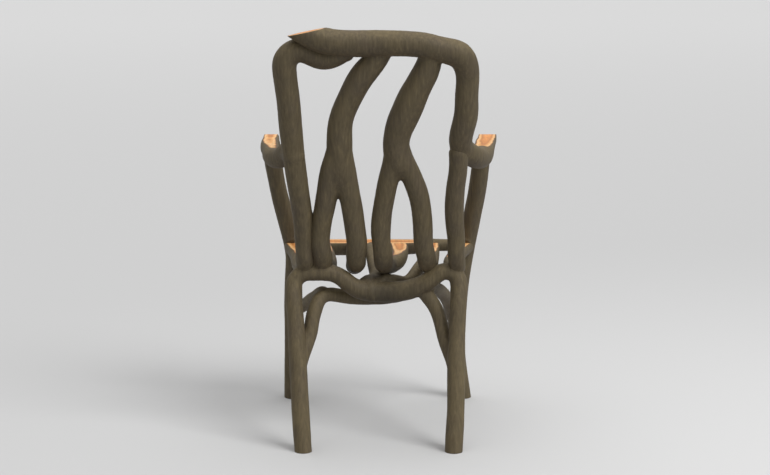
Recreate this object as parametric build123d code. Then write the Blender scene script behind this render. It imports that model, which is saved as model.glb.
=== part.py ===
from build123d import *
import math
import os

import numpy as np

# A rustic armchair grown out of bent branches. Millimetres, +Z up, +X to the sitter's left,
# and the chair faces -Y. The origin is on the floor, under the middle of the chair.

# Heights above the floor
SEAT_HEIGHT = 410
ARM_HEIGHT = 675
CREST_HEIGHT = 925

# Places across the chair, from branch middle to branch middle
REAR_FOOT_SPREAD = 342
FRONT_FOOT_SPREAD = 426
WAIST_WIDTH = 346
SEAT_FRONT_WIDTH = 424
BACK_WIDTH = 396
ARM_SPREAD = 524

# Places from back to front, measured forward from the rear feet
FRONT_FOOT_FORWARD = 455
BACK_FORWARD = 70
ARCH_FORWARD = 80
RAIL_FORWARD = 388
ARM_FRONT_FORWARD = 384
BACK_TILT = 11.3

# Thickness of each branch where it is plain, without its knots and taper
CREST_THICKNESS = 56
STILE_THICKNESS = 51
LOWER_STILE_THICKNESS = 42
ARM_THICKNESS = 46
LEFT_TRUNK_THICKNESS = 55
RIGHT_TRUNK_THICKNESS = 60
TINE_THICKNESS = 45
FRONT_LEG_THICKNESS = 44
REAR_LEG_THICKNESS = 40
FRONT_RAIL_THICKNESS = 44
BRACE_THICKNESS = 31
FORK_THICKNESS = 33

# The sawn and shaved faces
SEAT_FLAT_FORWARD = 195
RAIL_FLAT_END = 125
RAIL_FLAT_RISE = 2
RAIL_FLAT_TILT = 6
LEFT_ARM_FLAT_FORWARD = 131
RIGHT_ARM_FLAT_FORWARD = 150
RUN_OUT = 60
BEVEL_RISE = 15
BEVEL_SLOPE = 12
BEVEL_LENGTH = 100

# The arches: where the two halves meet, and how far below the seat they run
ARCH_MEETING = 16
ARCH_DROP = 12
ARCH_DIP = 60

# Tenoned joints
JOINT_GAP = 0.15
BACK_TENON_DIAMETER = 20
RAIL_TENON_DIAMETER = 14
BRACE_TENON_DIAMETER = 12
TENON_LENGTH = 11
TENON_ROOT = 14
TENON_GAP = 0.2

# Screws, all driven from below
SCREW_DIAMETER = 5
SCREW_HEAD_DIAMETER = 10
SCREW_HEAD_HEIGHT = 4
SCREW_GAP = 0.15
SCREW_SINK = 2
COUNTERBORE_REACH = 20
SEAT_SCREW_LENGTH = 44
LAP_SCREW_LENGTH = 60
LAP_RISE = 45
LAP_SCREW_PLACES = ((142, 25, 900), (95, 28, 895))
SEAT_SCREWS = (
    (167, "left_rear_leg", "left_stile"), (121, "left_rear_leg", "left_splat"),
    (-112, "right_rear_leg", "right_splat"), (-177, "right_rear_leg", "right_lower_stile"),
)

# How closely the rings that shape a branch stand along it, and its rows for finding joints
RING_SPACING = 32
FINE_SPACING = 2

# Larger than the chair, for cutters
CUTTER_REACH = 1000


def share(start, end, part):
    """The value that lies the given part of the way from start to end."""
    return start + (end - start) * part


def back_height(part):
    """A height on the back, from 0 at the seat to 1 at the middle of the crest."""
    return share(SEAT_HEIGHT, CREST_HEIGHT, part)


def back_depth(z):
    """The place of the leaning back at a height, rising backwards from the seat."""
    return -BACK_FORWARD + (z - SEAT_HEIGHT) * math.tan(math.radians(BACK_TILT))


def on_back(x, part, size=1.0):
    """A point of a branch of the back, at a share of the back's height."""
    z = back_height(part)
    return (x, back_depth(z), z, size)


def stile_side(part):
    """Half the width between the stiles at a share of the back's height."""
    return share(WAIST_WIDTH, BACK_WIDTH, part) / 2


def seat_depth(part):
    """A place on the seat, from 0 at the back to 1 at the front rail."""
    return -share(BACK_FORWARD, RAIL_FORWARD, part)


def on_seat(x, part, drop, size=1.0):
    """A point of a branch under the seat's flat top, by how far its middle lies below it."""
    return (x, seat_depth(part), SEAT_HEIGHT - drop, size)


def on_arm(x, part, drop, size=1.0):
    """A point of an arm, from 0 at the stile to 1 at its front end."""
    return (x, share(back_depth(ARM_HEIGHT), -ARM_FRONT_FORWARD, part), ARM_HEIGHT - drop, size)


def rear_leg_point(x, part, size=1.0):
    """A point of a rear leg, from 0 at the foot to 1 under the arch, bending forward."""
    return (x, -ARCH_FORWARD * part ** 1.2, SEAT_HEIGHT * part, size)


def front_leg_point(x, part, size=1.0):
    """A point of a front leg, from 0 at the foot to 1 at the seat."""
    return (x, -share(FRONT_FOOT_FORWARD, RAIL_FORWARD + 4, part), SEAT_HEIGHT * part, size)


def smooth_line(points, spacing):
    """Runs a natural cubic spline, timed by the distance between points, through the rows of
    x, y, z and size, and returns rows at even steps of about the spacing."""
    rows = np.array(points, dtype=float)
    gaps = np.linalg.norm(np.diff(rows[:, :3], axis=0), axis=1)
    times = np.concatenate([[0], np.cumsum(gaps)])
    count = len(rows)
    system = np.eye(count)
    known = np.zeros_like(rows)
    for i in range(1, count - 1):
        system[i, i - 1 : i + 2] = gaps[i - 1], 2 * (gaps[i - 1] + gaps[i]), gaps[i]
        known[i] = 6 * (np.diff(rows, axis=0)[i] / gaps[i] - np.diff(rows, axis=0)[i - 1] / gaps[i - 1])
    bends = np.linalg.solve(system, known)
    steps = np.linspace(0, times[-1], max(4, round(times[-1] / spacing)) + 1)
    left = np.clip(np.searchsorted(times, steps, side="right") - 1, 0, count - 2)
    gap = gaps[left][:, None]
    after = (steps - times[left])[:, None]
    before = gap - after
    return (
        (bends[left] * before**3 + bends[left + 1] * after**3) / (6 * gap)
        + (rows[left] / gap - bends[left] * gap / 6) * before
        + (rows[left + 1] / gap - bends[left + 1] * gap / 6) * after
    )


def rod(start, end, diameter):
    """A round rod from one place to another."""
    run = Vector(*end) - Vector(*start)
    return Plane(origin=start, z_dir=run) * Cylinder(
        diameter / 2, run.length, align=(Align.CENTER, Align.CENTER, Align.MIN)
    )


def branch(points, thickness, grow=0.0):
    """Lofts a branch through round rings that stand square to its smooth centre line."""
    line = smooth_line(points, RING_SPACING)
    runs = np.gradient(line[:, :3], axis=0)
    runs /= np.linalg.norm(runs, axis=1)[:, None]
    side = np.cross(runs[0], (0.3, 1.0, 0.2))
    rings = []
    for place, run in zip(line, runs):
        side = side - run * (side @ run)
        side = side / np.linalg.norm(side)
        ring = Plane(origin=tuple(place[:3]), x_dir=tuple(side), z_dir=tuple(run))
        rings.append(ring * Circle(place[3] * thickness / 2 + grow))
    return loft(rings)


def largest(shape):
    """The largest solid of a shape, once a cut has split it."""
    return max(shape.solids(), key=lambda solid: solid.volume)


# ---- The middle lines of the branches: x, y, z and a share of the branch's thickness ----

# The upright tines all turn forward at the seat and dip under its flat top the same way
SLAT_LINE = (
    (-0.01, -31), (0.03, -14), (0.11, -2), (0.24, 9), (0.37, 18), (0.52, 18.5), (0.72, 13), (0.88, 10),
    (0.98, 10.5),
)
SLAT_SIZES = (0.97, 0.96, 0.94, 0.9, 0.87, 0.9, 0.93, 0.92, 0.9)


def slat(places):
    """The seat part of a tine, from its elbow to the front rail, by its place across."""
    return [on_seat(x, part, drop, size) for x, (part, drop), size in zip(places, SLAT_LINE, SLAT_SIZES)]


def crest_line():
    """The crest, down its right-hand stile and knee, and out along the right arm."""
    back = back_depth(CREST_HEIGHT)
    edge = BACK_WIDTH / 2
    crest = [
        (edge - 8, back + 13, CREST_HEIGHT + 43, 0.89),
        (edge - 48, back + 13, CREST_HEIGHT + 20, 0.96),
        (edge - 93, back + 13, CREST_HEIGHT + 4, 1.02),
        (60, back + 12, CREST_HEIGHT, 1.03),
        (0, back + 11, CREST_HEIGHT, 1.03),
        (-58, back + 10, CREST_HEIGHT - 1, 1.0),
        (97 - edge, back + 8, CREST_HEIGHT - 5, 1.0),
        (57 - edge, back + 4, CREST_HEIGHT - 15, 1.0),
        (21 - edge, back - 2, CREST_HEIGHT - 28, 1.06),
    ]
    stile = [
        on_back(2 - stile_side(0.88), 0.885, 0.96),
        on_back(-1 - stile_side(0.78), 0.78, 0.92),
        on_back(-2 - stile_side(0.68), 0.68, 0.95),
    ]
    hip = stile_side(0.57)
    reach = ARM_SPREAD / 2
    arm = [
        (4 - hip, back_depth(ARM_HEIGHT) + 8, ARM_HEIGHT + 47, 0.94),
        (5 - hip, back_depth(ARM_HEIGHT) + 2, ARM_HEIGHT + 31, 0.93),
        on_arm(-hip, 0.03, -13, 0.92),
        on_arm(57 - reach, 0.095, 4, 0.91),
        on_arm(41 - reach, 0.2, 16, 0.89),
        on_arm(28 - reach, 0.335, 21.5, 0.89),
        on_arm(19 - reach, 0.5, 15.5, 0.88),
        on_arm(12 - reach, 0.66, 12, 0.84),
        on_arm(5 - reach, 0.83, 9, 0.8),
        on_arm(-2 - reach, 1.03, 5.5, 0.77),
    ]
    return crest + stile + arm


def left_stile_line():
    """The left stile, from its return under the crest to the left side of the seat."""
    back = back_depth(CREST_HEIGHT)
    edge = BACK_WIDTH / 2
    crown = [
        (edge - 154, back + 1, CREST_HEIGHT - 15, 0.8),
        (edge - 130, back - 1, CREST_HEIGHT - 18, 0.85),
        (edge - 105, back - 5, CREST_HEIGHT - 29, 0.93),
        (edge - 80, back - 7, CREST_HEIGHT - 33, 0.99),
        (edge - 56, back - 8, CREST_HEIGHT - 25, 1.0),
        (edge - 33, back - 8, CREST_HEIGHT - 17, 1.02),
        (edge - 11, back - 8, CREST_HEIGHT - 23, 1.03),
        (edge + 2, back - 9, CREST_HEIGHT - 40, 1.04),
    ]
    bows = ((7, 0.87, 1.03), (4, 0.77, 1.0), (3, 0.66, 1.0), (1, 0.55, 0.965), (-2, 0.45, 0.95),
            (-6, 0.34, 0.92), (-10, 0.23, 0.85), (-9, 0.175, 0.8), (-8, 0.09, 0.75))
    stile = [on_back(stile_side(part) + bow, part, size) for bow, part, size in bows]
    front = SEAT_FRONT_WIDTH / 2
    waist = WAIST_WIDTH / 2
    side = [
        on_seat(waist - 7, 0.0, -18, 0.79),
        on_seat(waist - 7, 0.05, -1, 0.79),
        on_seat(waist - 3, 0.14, 11, 0.76),
        on_seat(waist + 9, 0.36, 17, 0.74),
        on_seat(front - 20, 0.67, 15, 0.75),
        on_seat(front - 7, 0.88, 12, 0.75),
        on_seat(front - 1, 0.97, 12, 0.75),
    ]
    return crown + stile + side


def right_lower_stile_line():
    """The lower right stile, from under the knee of the arm to the right side of the seat."""
    bows = ((9, 0.52, 1.0), (7, 0.44, 1.0), (9, 0.39, 1.0), (10, 0.34, 1.01), (10, 0.28, 1.02),
            (8, 0.23, 1.0), (4, 0.175, 0.98), (0, 0.12, 0.95), (-2, 0.06, 0.93))
    stile = [on_back(bow - stile_side(part), part, size) for bow, part, size in bows]
    front = SEAT_FRONT_WIDTH / 2
    waist = WAIST_WIDTH / 2
    side = [
        on_seat(-5 - waist, 0.0, -16, 0.92),
        on_seat(-6 - waist, 0.05, 0, 0.92),
        on_seat(-4 - waist, 0.14, 11, 0.92),
        on_seat(2 - waist, 0.38, 16, 0.92),
        on_seat(24 - front, 0.71, 14, 0.92),
        on_seat(8 - front, 0.9, 12, 0.91),
        on_seat(0 - front, 0.98, 12, 0.9),
    ]
    return stile + side


def back_points(places):
    """Points of the back from rows of place across, share of the height and size."""
    return [on_back(x, part, size) for x, part, size in places]


def left_splat_lines():
    """The left splat's trunk and its two tines, which fork below the middle of the back."""
    trunk = back_points((
        (-9, 0.975, 0.93), (9, 0.918, 0.96), (30.5, 0.868, 1.02), (61, 0.765, 0.99), (81.5, 0.66, 1.0),
        (84.5, 0.553, 1.04), (87, 0.47, 1.0), (88, 0.4, 0.75), (89, 0.37, 0.4),
    ))
    outer = back_points((
        (84, 0.63, 0.95), (87, 0.56, 1.05), (94, 0.5, 1.12), (103, 0.447, 1.1), (109.5, 0.394, 1.07),
        (114, 0.34, 1.06), (119, 0.285, 1.04), (124, 0.23, 0.98), (127.5, 0.175, 0.94), (128, 0.09, 0.95),
    )) + slat((125, 124.5, 123.5, 120, 117, 118, 127, 134, 137))
    inner = back_points((
        (82, 0.605, 0.95), (81, 0.56, 1.03), (78, 0.5, 1.08), (73, 0.447, 1.09), (68, 0.394, 1.06),
        (63.5, 0.34, 1.05), (58.5, 0.285, 1.05), (51, 0.175, 1.05), (48, 0.09, 1.02),
    )) + slat((49, 49, 50.5, 54, 56, 56, 57, 57, 57))
    return trunk, outer, inner


def right_splat_lines():
    """The right splat's thicker trunk and its two tines, the inner one crossing to the middle."""
    trunk = back_points((
        (-115, 0.975, 0.85), (-111, 0.918, 0.9), (-101.5, 0.868, 0.97), (-87.5, 0.816, 1.0),
        (-75, 0.765, 1.07), (-64, 0.713, 1.09), (-52, 0.66, 1.07), (-43, 0.606, 0.99),
        (-40, 0.553, 0.97), (-43, 0.5, 0.97), (-46, 0.46, 0.75), (-47, 0.445, 0.45),
    ))
    inner = back_points((
        (-42, 0.62, 0.9), (-40.5, 0.57, 1.03), (-37, 0.5, 1.12), (-29.5, 0.447, 1.05), (-22, 0.394, 1.03),
        (-16.5, 0.34, 1.02), (-11.5, 0.285, 1.0), (-6, 0.175, 0.99), (-9, 0.09, 0.93),
    )) + slat((-11, -12, -14, -19, -28, -42, -50, -50, -47))
    outer = back_points((
        (-42, 0.62, 0.9), (-45, 0.57, 1.0), (-53, 0.5, 1.1), (-67.5, 0.447, 1.03), (-79.5, 0.394, 1.02),
        (-89.5, 0.34, 1.02), (-95.5, 0.285, 1.0), (-100.5, 0.175, 1.0), (-104, 0.09, 0.98),
    )) + slat((-108, -111, -114, -118, -120, -122, -125, -127, -127))
    return trunk, inner, outer


def left_arm_line():
    """The left arm, from the stile's front, round its knuckle and forward over the leg."""
    reach = ARM_SPREAD / 2
    return [
        on_arm(stile_side(0.51) - 2, -0.01, 3, 1.0),
        on_arm(stile_side(0.51) + 10, 0.09, 7, 1.0),
        on_arm(reach - 45, 0.195, 15, 1.0),
        on_arm(reach - 27, 0.295, 21.5, 1.0),
        on_arm(reach - 16, 0.47, 18, 0.97),
        on_arm(reach - 8, 0.635, 15.5, 0.94),
        on_arm(reach - 4, 0.83, 13.5, 0.9),
        on_arm(reach - 3, 1.03, 10.5, 0.85),
    ]


def front_leg_line(side, legs, supports):
    """A front leg and the arm support that it grows into, as bows off a straight line."""
    leg = [
        front_leg_point(side * (share(FRONT_FOOT_SPREAD, SEAT_FRONT_WIDTH, part) / 2 + bow), part, size)
        for bow, part, size in legs
    ]
    support = [
        (
            side * (share(SEAT_FRONT_WIDTH, ARM_SPREAD, part) / 2 + bow),
            -share(RAIL_FORWARD + 4, ARM_FRONT_FORWARD - 30, part),
            share(SEAT_HEIGHT, ARM_HEIGHT, part),
            size,
        )
        for bow, part, size in supports
    ]
    return leg + support


def left_front_leg_line():
    """The left front leg, nearly straight, with a support that bows out above the seat."""
    legs = ((3, -0.04, 1.04), (3, 0.02, 1.03), (1, 0.24, 1.02), (-1, 0.5, 1.02), (-3, 0.76, 1.01),
            (-5, 0.93, 1.0))
    supports = ((1, 0.12, 0.97), (4, 0.3, 0.94), (6, 0.46, 0.93), (5, 0.66, 0.94), (2.5, 0.8, 0.97),
                (-2, 0.925, 0.93))
    return front_leg_line(1, legs, supports)


def right_front_leg_line():
    """The right front leg, which bows in below the seat and kicks out at the foot."""
    legs = ((-2, -0.04, 1.05), (-5, 0.02, 1.04), (-10, 0.11, 1.02), (-17, 0.23, 1.02), (-20, 0.4, 1.01),
            (-17, 0.57, 1.0), (-11, 0.76, 1.0), (-1, 0.93, 0.99))
    supports = ((4, 0.12, 0.98), (3.5, 0.34, 0.98), (1, 0.57, 0.99), (-3, 0.74, 0.98), (-6, 0.925, 0.93))
    return front_leg_line(-1, legs, supports)


def rear_leg(side, bows):
    """The upright part of a rear leg, as bows off a straight line from the foot to the waist."""
    return [
        rear_leg_point(side * (share(REAR_FOOT_SPREAD, WAIST_WIDTH, part) / 2 + bow), max(part, 0), size)
        for bow, part, size in bows
    ]


def on_arch(x, forward, drop, size):
    """A point of the arches that the back stands on, by its drop below the seat."""
    return (x, -ARCH_FORWARD - forward, SEAT_HEIGHT - drop, size)


def left_rear_leg_line():
    """The left rear leg, over its shoulder and along the arch, down to the knot in the middle."""
    foot = (REAR_FOOT_SPREAD / 2 - 2, 1, -10, 0.98)
    bows = ((1, 0.08, 0.99), (4.5, 0.23, 1.01), (7, 0.36, 1.0), (9.5, 0.49, 0.99), (12, 0.62, 0.96),
            (16, 0.75, 0.94), (19, 0.86, 0.94))
    waist = WAIST_WIDTH / 2
    arch = [
        on_arch(waist + 14, -3, 29, 0.95),
        on_arch(waist - 3, 0, 15, 0.97),
        on_arch(waist - 27, 0, 12.5, 0.97),
        on_arch(121, 0, 12.5, 0.97),
        on_arch(98, 1, 17, 0.98),
        on_arch(75, 3, 32, 1.01),
        on_arch(53, 6, 49, 1.07),
        on_arch(30, 12, 57, 1.17),
        on_arch(6, 15, 61, 1.17),
    ]
    return [foot] + rear_leg(1, bows) + arch


def right_rear_leg_line():
    """The right rear leg, over its shoulder and along the arch, through the knot in the middle."""
    foot = (-REAR_FOOT_SPREAD / 2, 1, -10, 1.03)
    bows = ((1.5, 0.08, 1.03), (4, 0.2, 1.0), (5, 0.42, 1.03), (5.5, 0.55, 1.0), (7, 0.68, 0.94),
            (9.5, 0.82, 0.96))
    waist = WAIST_WIDTH / 2
    arch = [
        on_arch(-10 - waist, -6, 40, 0.98),
        on_arch(-4 - waist, -1, 21, 0.99),
        on_arch(12 - waist, 0, 11, 0.98),
        on_arch(28 - waist, 0, 11.5, 0.98),
        on_arch(-127, 1, 23, 1.0),
        on_arch(-106, 4, 38.5, 1.05),
        on_arch(-84, 8, 50, 1.1),
        on_arch(-50, 12, 59, 1.15),
        on_arch(-15, 15, 61, 1.18),
        on_arch(22, 14, 59, 1.16),
    ]
    return [foot] + rear_leg(-1, bows) + arch


def front_rail_line():
    """The front rail of the seat, thinner towards its right end."""
    edge = SEAT_FRONT_WIDTH / 2
    rows = ((edge - 8, 11, 0.86), (edge - 62, 11, 0.97), (94, 11, 1.0), (20, 11, 1.0), (-60, 11, 0.97),
            (-98, 10, 0.84), (-126, 8.5, 0.72), (-158, 8, 0.67), (30 - edge, 8, 0.66), (8 - edge, 8, 0.66))
    return [(x, -RAIL_FORWARD, SEAT_HEIGHT - drop, size) for x, drop, size in rows]


def below_seat(places):
    """Points under the seat from rows of place across, place forward, drop and size."""
    return [(x, -forward, SEAT_HEIGHT - drop, size) for x, forward, drop, size in places]


def left_rear_brace_line():
    """The brace that leaves the left rear leg, rises and runs level to the knot."""
    return [rear_leg_point(REAR_FOOT_SPREAD / 2 + 5, 0.44, 0.8)] + below_seat((
        (170, 45, 198, 0.97), (162, 55, 175, 1.0), (154, 66, 148, 1.04), (150, 76, 121, 1.06),
        (143, 86, 95, 1.09), (131, 98, 75, 1.07), (112, 108, 70, 1.05), (88, 114, 74, 1.05),
        (53, 118, 79, 1.05), (19, 118, 79, 1.08), (-20, 114, 77, 1.05), (-48, 106, 71, 1.0),
    ))


def right_rear_brace_line():
    """The brace that leaves the right rear leg and rises to the arch."""
    return [rear_leg_point(-REAR_FOOT_SPREAD / 2 - 5, 0.38, 0.8)] + below_seat((
        (-166, 56, 204, 1.0), (-155, 68, 174, 1.03), (-147, 77, 146, 1.03), (-140, 84, 120, 1.03),
        (-129, 89, 94, 1.06), (-113, 90, 71, 1.06), (-100, 88, 54, 1.0),
    ))


def left_front_brace_line():
    """The brace from the left front leg back to the left rear brace."""
    return [front_leg_point(FRONT_FOOT_SPREAD / 2 - 5, 0.55, 0.85)] + below_seat((
        (196, 372, 163, 0.92), (183, 330, 147, 0.94), (165, 275, 122, 0.95), (147, 220, 99, 0.95),
        (131, 165, 78, 0.94), (119, 118, 72, 0.9),
    ))


def right_front_brace_line():
    """The brace from the right front leg back to the right arch."""
    return [front_leg_point(17 - FRONT_FOOT_SPREAD / 2, 0.46, 0.85)] + below_seat((
        (-181, 385, 188, 0.93), (-173, 340, 155, 0.95), (-162, 280, 117, 0.97), (-148, 220, 88, 1.0),
        (-136, 165, 70, 1.0), (-125, 120, 57, 0.98), (-116, 92, 48, 0.95),
    ))


def fork_lines():
    """The forked brace under the seat, from the knot to the front rail and to a slat."""
    left = below_seat((
        (34, 94, 50, 1.15), (26, 108, 46, 1.2), (13, 132, 46, 1.2), (4, 168, 42, 1.1), (8, 230, 33, 1.0),
        (13, 290, 23, 0.97), (17, 345, 14.5, 0.97), (18, 376, 14, 0.95),
    ))
    right = below_seat((
        (0, 106, 54, 1.0), (-18, 120, 46, 1.15), (-38, 134, 48, 1.12), (-60, 156, 54, 1.03),
        (-88, 215, 42, 0.92), (-104, 268, 30, 0.88), (-114, 300, 24, 0.86),
    ))
    return left, right


def branch_runs():
    """Every branch by name, as the middle lines and thicknesses of the runs it's made of."""
    return {
        "crest_branch": [(crest_line(), CREST_THICKNESS)],
        "left_stile": [(left_stile_line(), STILE_THICKNESS)],
        "right_lower_stile": [(right_lower_stile_line(), LOWER_STILE_THICKNESS)],
        "left_splat": list(zip(left_splat_lines(), [LEFT_TRUNK_THICKNESS] + 2 * [TINE_THICKNESS])),
        "right_splat": list(zip(right_splat_lines(), [RIGHT_TRUNK_THICKNESS] + 2 * [TINE_THICKNESS])),
        "left_arm": [(left_arm_line(), ARM_THICKNESS)],
        "left_front_leg": [(left_front_leg_line(), FRONT_LEG_THICKNESS)],
        "right_front_leg": [(right_front_leg_line(), FRONT_LEG_THICKNESS)],
        "left_rear_leg": [(left_rear_leg_line(), REAR_LEG_THICKNESS)],
        "right_rear_leg": [(right_rear_leg_line(), REAR_LEG_THICKNESS)],
        "front_rail": [(front_rail_line(), FRONT_RAIL_THICKNESS)],
        "left_rear_brace": [(left_rear_brace_line(), BRACE_THICKNESS)],
        "right_rear_brace": [(right_rear_brace_line(), BRACE_THICKNESS)],
        "left_front_brace": [(left_front_brace_line(), BRACE_THICKNESS)],
        "right_front_brace": [(right_front_brace_line(), BRACE_THICKNESS)],
        "forked_seat_brace": [(line, FORK_THICKNESS) for line in fork_lines()],
    }


# ---- Which branches each one is shaped round where they meet ----
SHAPED_ROUND = {
    "left_stile": ("crest_branch", "left_rear_leg", "left_front_leg"),
    "right_lower_stile": ("crest_branch", "right_rear_leg", "right_front_leg"),
    "front_rail": ("left_front_leg", "right_front_leg", "left_stile", "right_lower_stile"),
    "left_splat": ("crest_branch", "left_stile", "left_rear_leg", "front_rail"),
    "right_splat": ("crest_branch", "left_splat", "left_rear_leg", "right_rear_leg", "front_rail"),
    "left_arm": ("left_stile",),
    "left_front_leg": ("left_arm",),
    "right_front_leg": ("crest_branch",),
    "left_rear_brace": ("left_rear_leg", "right_rear_leg"),
    "right_rear_brace": ("right_rear_leg",),
    "left_front_brace": ("left_front_leg", "left_rear_brace", "left_rear_leg"),
    "right_front_brace": ("right_front_leg", "right_rear_leg", "right_rear_brace"),
    "forked_seat_brace": (
        "right_rear_leg", "left_rear_leg", "left_rear_brace", "front_rail", "left_splat", "right_splat",
    ),
}

# ---- The ends that are tenoned: branch, which of its runs, which end of it, and the host ----
TENONS = (
    ("left_stile", 0, "last", "left_front_leg", RAIL_TENON_DIAMETER),
    ("right_lower_stile", 0, "first", "crest_branch", RAIL_TENON_DIAMETER),
    ("right_lower_stile", 0, "last", "right_front_leg", RAIL_TENON_DIAMETER),
    ("front_rail", 0, "first", "left_front_leg", RAIL_TENON_DIAMETER),
    ("front_rail", 0, "last", "right_front_leg", RAIL_TENON_DIAMETER),
    ("left_splat", 0, "first", "crest_branch", BACK_TENON_DIAMETER),
    ("left_splat", 1, "last", "front_rail", BRACE_TENON_DIAMETER),
    ("left_splat", 2, "last", "front_rail", BRACE_TENON_DIAMETER),
    ("right_splat", 0, "first", "crest_branch", BACK_TENON_DIAMETER),
    ("right_splat", 1, "last", "front_rail", BRACE_TENON_DIAMETER),
    ("right_splat", 2, "last", "front_rail", BRACE_TENON_DIAMETER),
    ("left_arm", 0, "first", "left_stile", BACK_TENON_DIAMETER),
    ("left_front_leg", 0, "last", "left_arm", BACK_TENON_DIAMETER),
    ("right_front_leg", 0, "last", "crest_branch", BACK_TENON_DIAMETER),
    ("left_rear_brace", 0, "first", "left_rear_leg", BRACE_TENON_DIAMETER),
    ("left_rear_brace", 0, "last", "right_rear_leg", BRACE_TENON_DIAMETER),
    ("right_rear_brace", 0, "first", "right_rear_leg", BRACE_TENON_DIAMETER),
    ("right_rear_brace", 0, "last", "right_rear_leg", BRACE_TENON_DIAMETER),
    ("left_front_brace", 0, "first", "left_front_leg", BRACE_TENON_DIAMETER),
    ("left_front_brace", 0, "last", "left_rear_brace", BRACE_TENON_DIAMETER),
    ("right_front_brace", 0, "first", "right_front_leg", BRACE_TENON_DIAMETER),
    ("right_front_brace", 0, "last", "right_rear_leg", BRACE_TENON_DIAMETER),
    ("forked_seat_brace", 0, "first", "right_rear_leg", BRACE_TENON_DIAMETER),
    ("forked_seat_brace", 0, "last", "front_rail", BRACE_TENON_DIAMETER),
    ("forked_seat_brace", 1, "last", "right_splat", BRACE_TENON_DIAMETER),
)


def whole_branch(runs, grow=0.0):
    """A branch before its joints are cut, with its forks joined into one solid."""
    shape = branch(*runs[0], grow)
    for run in runs[1:]:
        shape = shape + branch(*run, grow)
    return shape


def fine_rows(run):
    """Closely spaced rows of a run: x, y, z and the radius there."""
    points, thickness = run
    rows = smooth_line(points, FINE_SPACING)
    rows[:, 3] *= thickness / 2
    return rows


def entry(run, end, host_runs):
    """Where a run's middle line enters its host, and the way that it's heading there."""
    rows = fine_rows(run)
    if end == "first":
        rows = rows[::-1]
    host = np.concatenate([fine_rows(host_run) for host_run in host_runs])
    apart = np.linalg.norm(rows[:, None, :3] - host[None, :, :3], axis=2) - host[None, :, 3]
    outside = np.flatnonzero(apart.min(axis=1) > 0)
    last = min(outside[-1], len(rows) - 2)
    way = rows[last + 1, :3] - rows[last - 1, :3]
    return rows[last, :3], way / np.linalg.norm(way)


def nearest_row(run, place):
    """The middle and the radius of a run where it comes nearest to a place."""
    rows = fine_rows(run)
    row = rows[np.argmin(np.linalg.norm(rows[:, :3] - np.array(place), axis=1))]
    return row[:3], row[3]


def flat_cutter(height, start, left=CUTTER_REACH, right=-CUTTER_REACH):
    """What stands above a height from the front back to a place, then above a rising run-out."""
    outline = Polyline(
        (-CUTTER_REACH, height), (-start, height), (-start + RUN_OUT, height + RUN_OUT),
        (-CUTTER_REACH, height + RUN_OUT), close=True,
    )
    face = Plane(origin=(right, 0, 0), x_dir=(0, 1, 0), z_dir=(1, 0, 0)) * make_face(outline)
    return extrude(face, left - right)


def box_between(low, high):
    """A box from its lowest corner to its highest."""
    size = [b - a for a, b in zip(low, high)]
    return Pos(*low) * Box(*size, align=(Align.MIN, Align.MIN, Align.MIN))


def bevel_cutter():
    """The slanting cut that takes off the top of the crest's left end."""
    edge = BACK_WIDTH / 2
    slope = Pos(edge, 0, CREST_HEIGHT + BEVEL_RISE) * Rotation(0, BEVEL_SLOPE, 0)
    return slope * box_between((-BEVEL_LENGTH, -CUTTER_REACH, 0), (BEVEL_LENGTH, CUTTER_REACH, BEVEL_LENGTH))


def screw(place, way, length):
    """A wood screw whose head's outer face stands at a place."""
    place = np.array(place)
    neck = place + way * SCREW_HEAD_HEIGHT
    return rod(place, neck, SCREW_HEAD_DIAMETER) + rod(neck, place + way * length, SCREW_DIAMETER)


def screw_hole(place, way, length):
    """The clearance that a screw needs, with a counterbore that runs out through the bark."""
    place = np.array(place)
    neck = place + way * (SCREW_HEAD_HEIGHT + SCREW_GAP)
    head = rod(place - way * COUNTERBORE_REACH, neck, SCREW_HEAD_DIAMETER + 2 * SCREW_GAP)
    return head + rod(neck, place + way * (length + SCREW_GAP), SCREW_DIAMETER + 2 * SCREW_GAP)


def screw_places(runs):
    """Each screw's place, way and length, with the two branches that it holds together."""
    lap = []
    for place in LAP_SCREW_PLACES:
        middle, radius = nearest_row(runs["left_stile"][0], place)
        target, _ = nearest_row(runs["crest_branch"][0], middle + np.array((0, 0, LAP_RISE)))
        way = (target - middle) / np.linalg.norm(target - middle)
        start = middle - way * (radius - SCREW_SINK)
        lap.append((start, way, LAP_SCREW_LENGTH, ("left_stile", "crest_branch")))
    seat = []
    for x, arch, upper in SEAT_SCREWS:
        middle, radius = nearest_row(runs[arch][0], on_arch(x, 0, ARCH_DROP, 1)[:3])
        way = np.array((0.0, 0.0, 1.0))
        start = middle - way * (radius - SCREW_SINK)
        seat.append((start, way, SEAT_SCREW_LENGTH, (arch, upper)))
    return {"lap_screws": lap, "seat_screws": seat}


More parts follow.
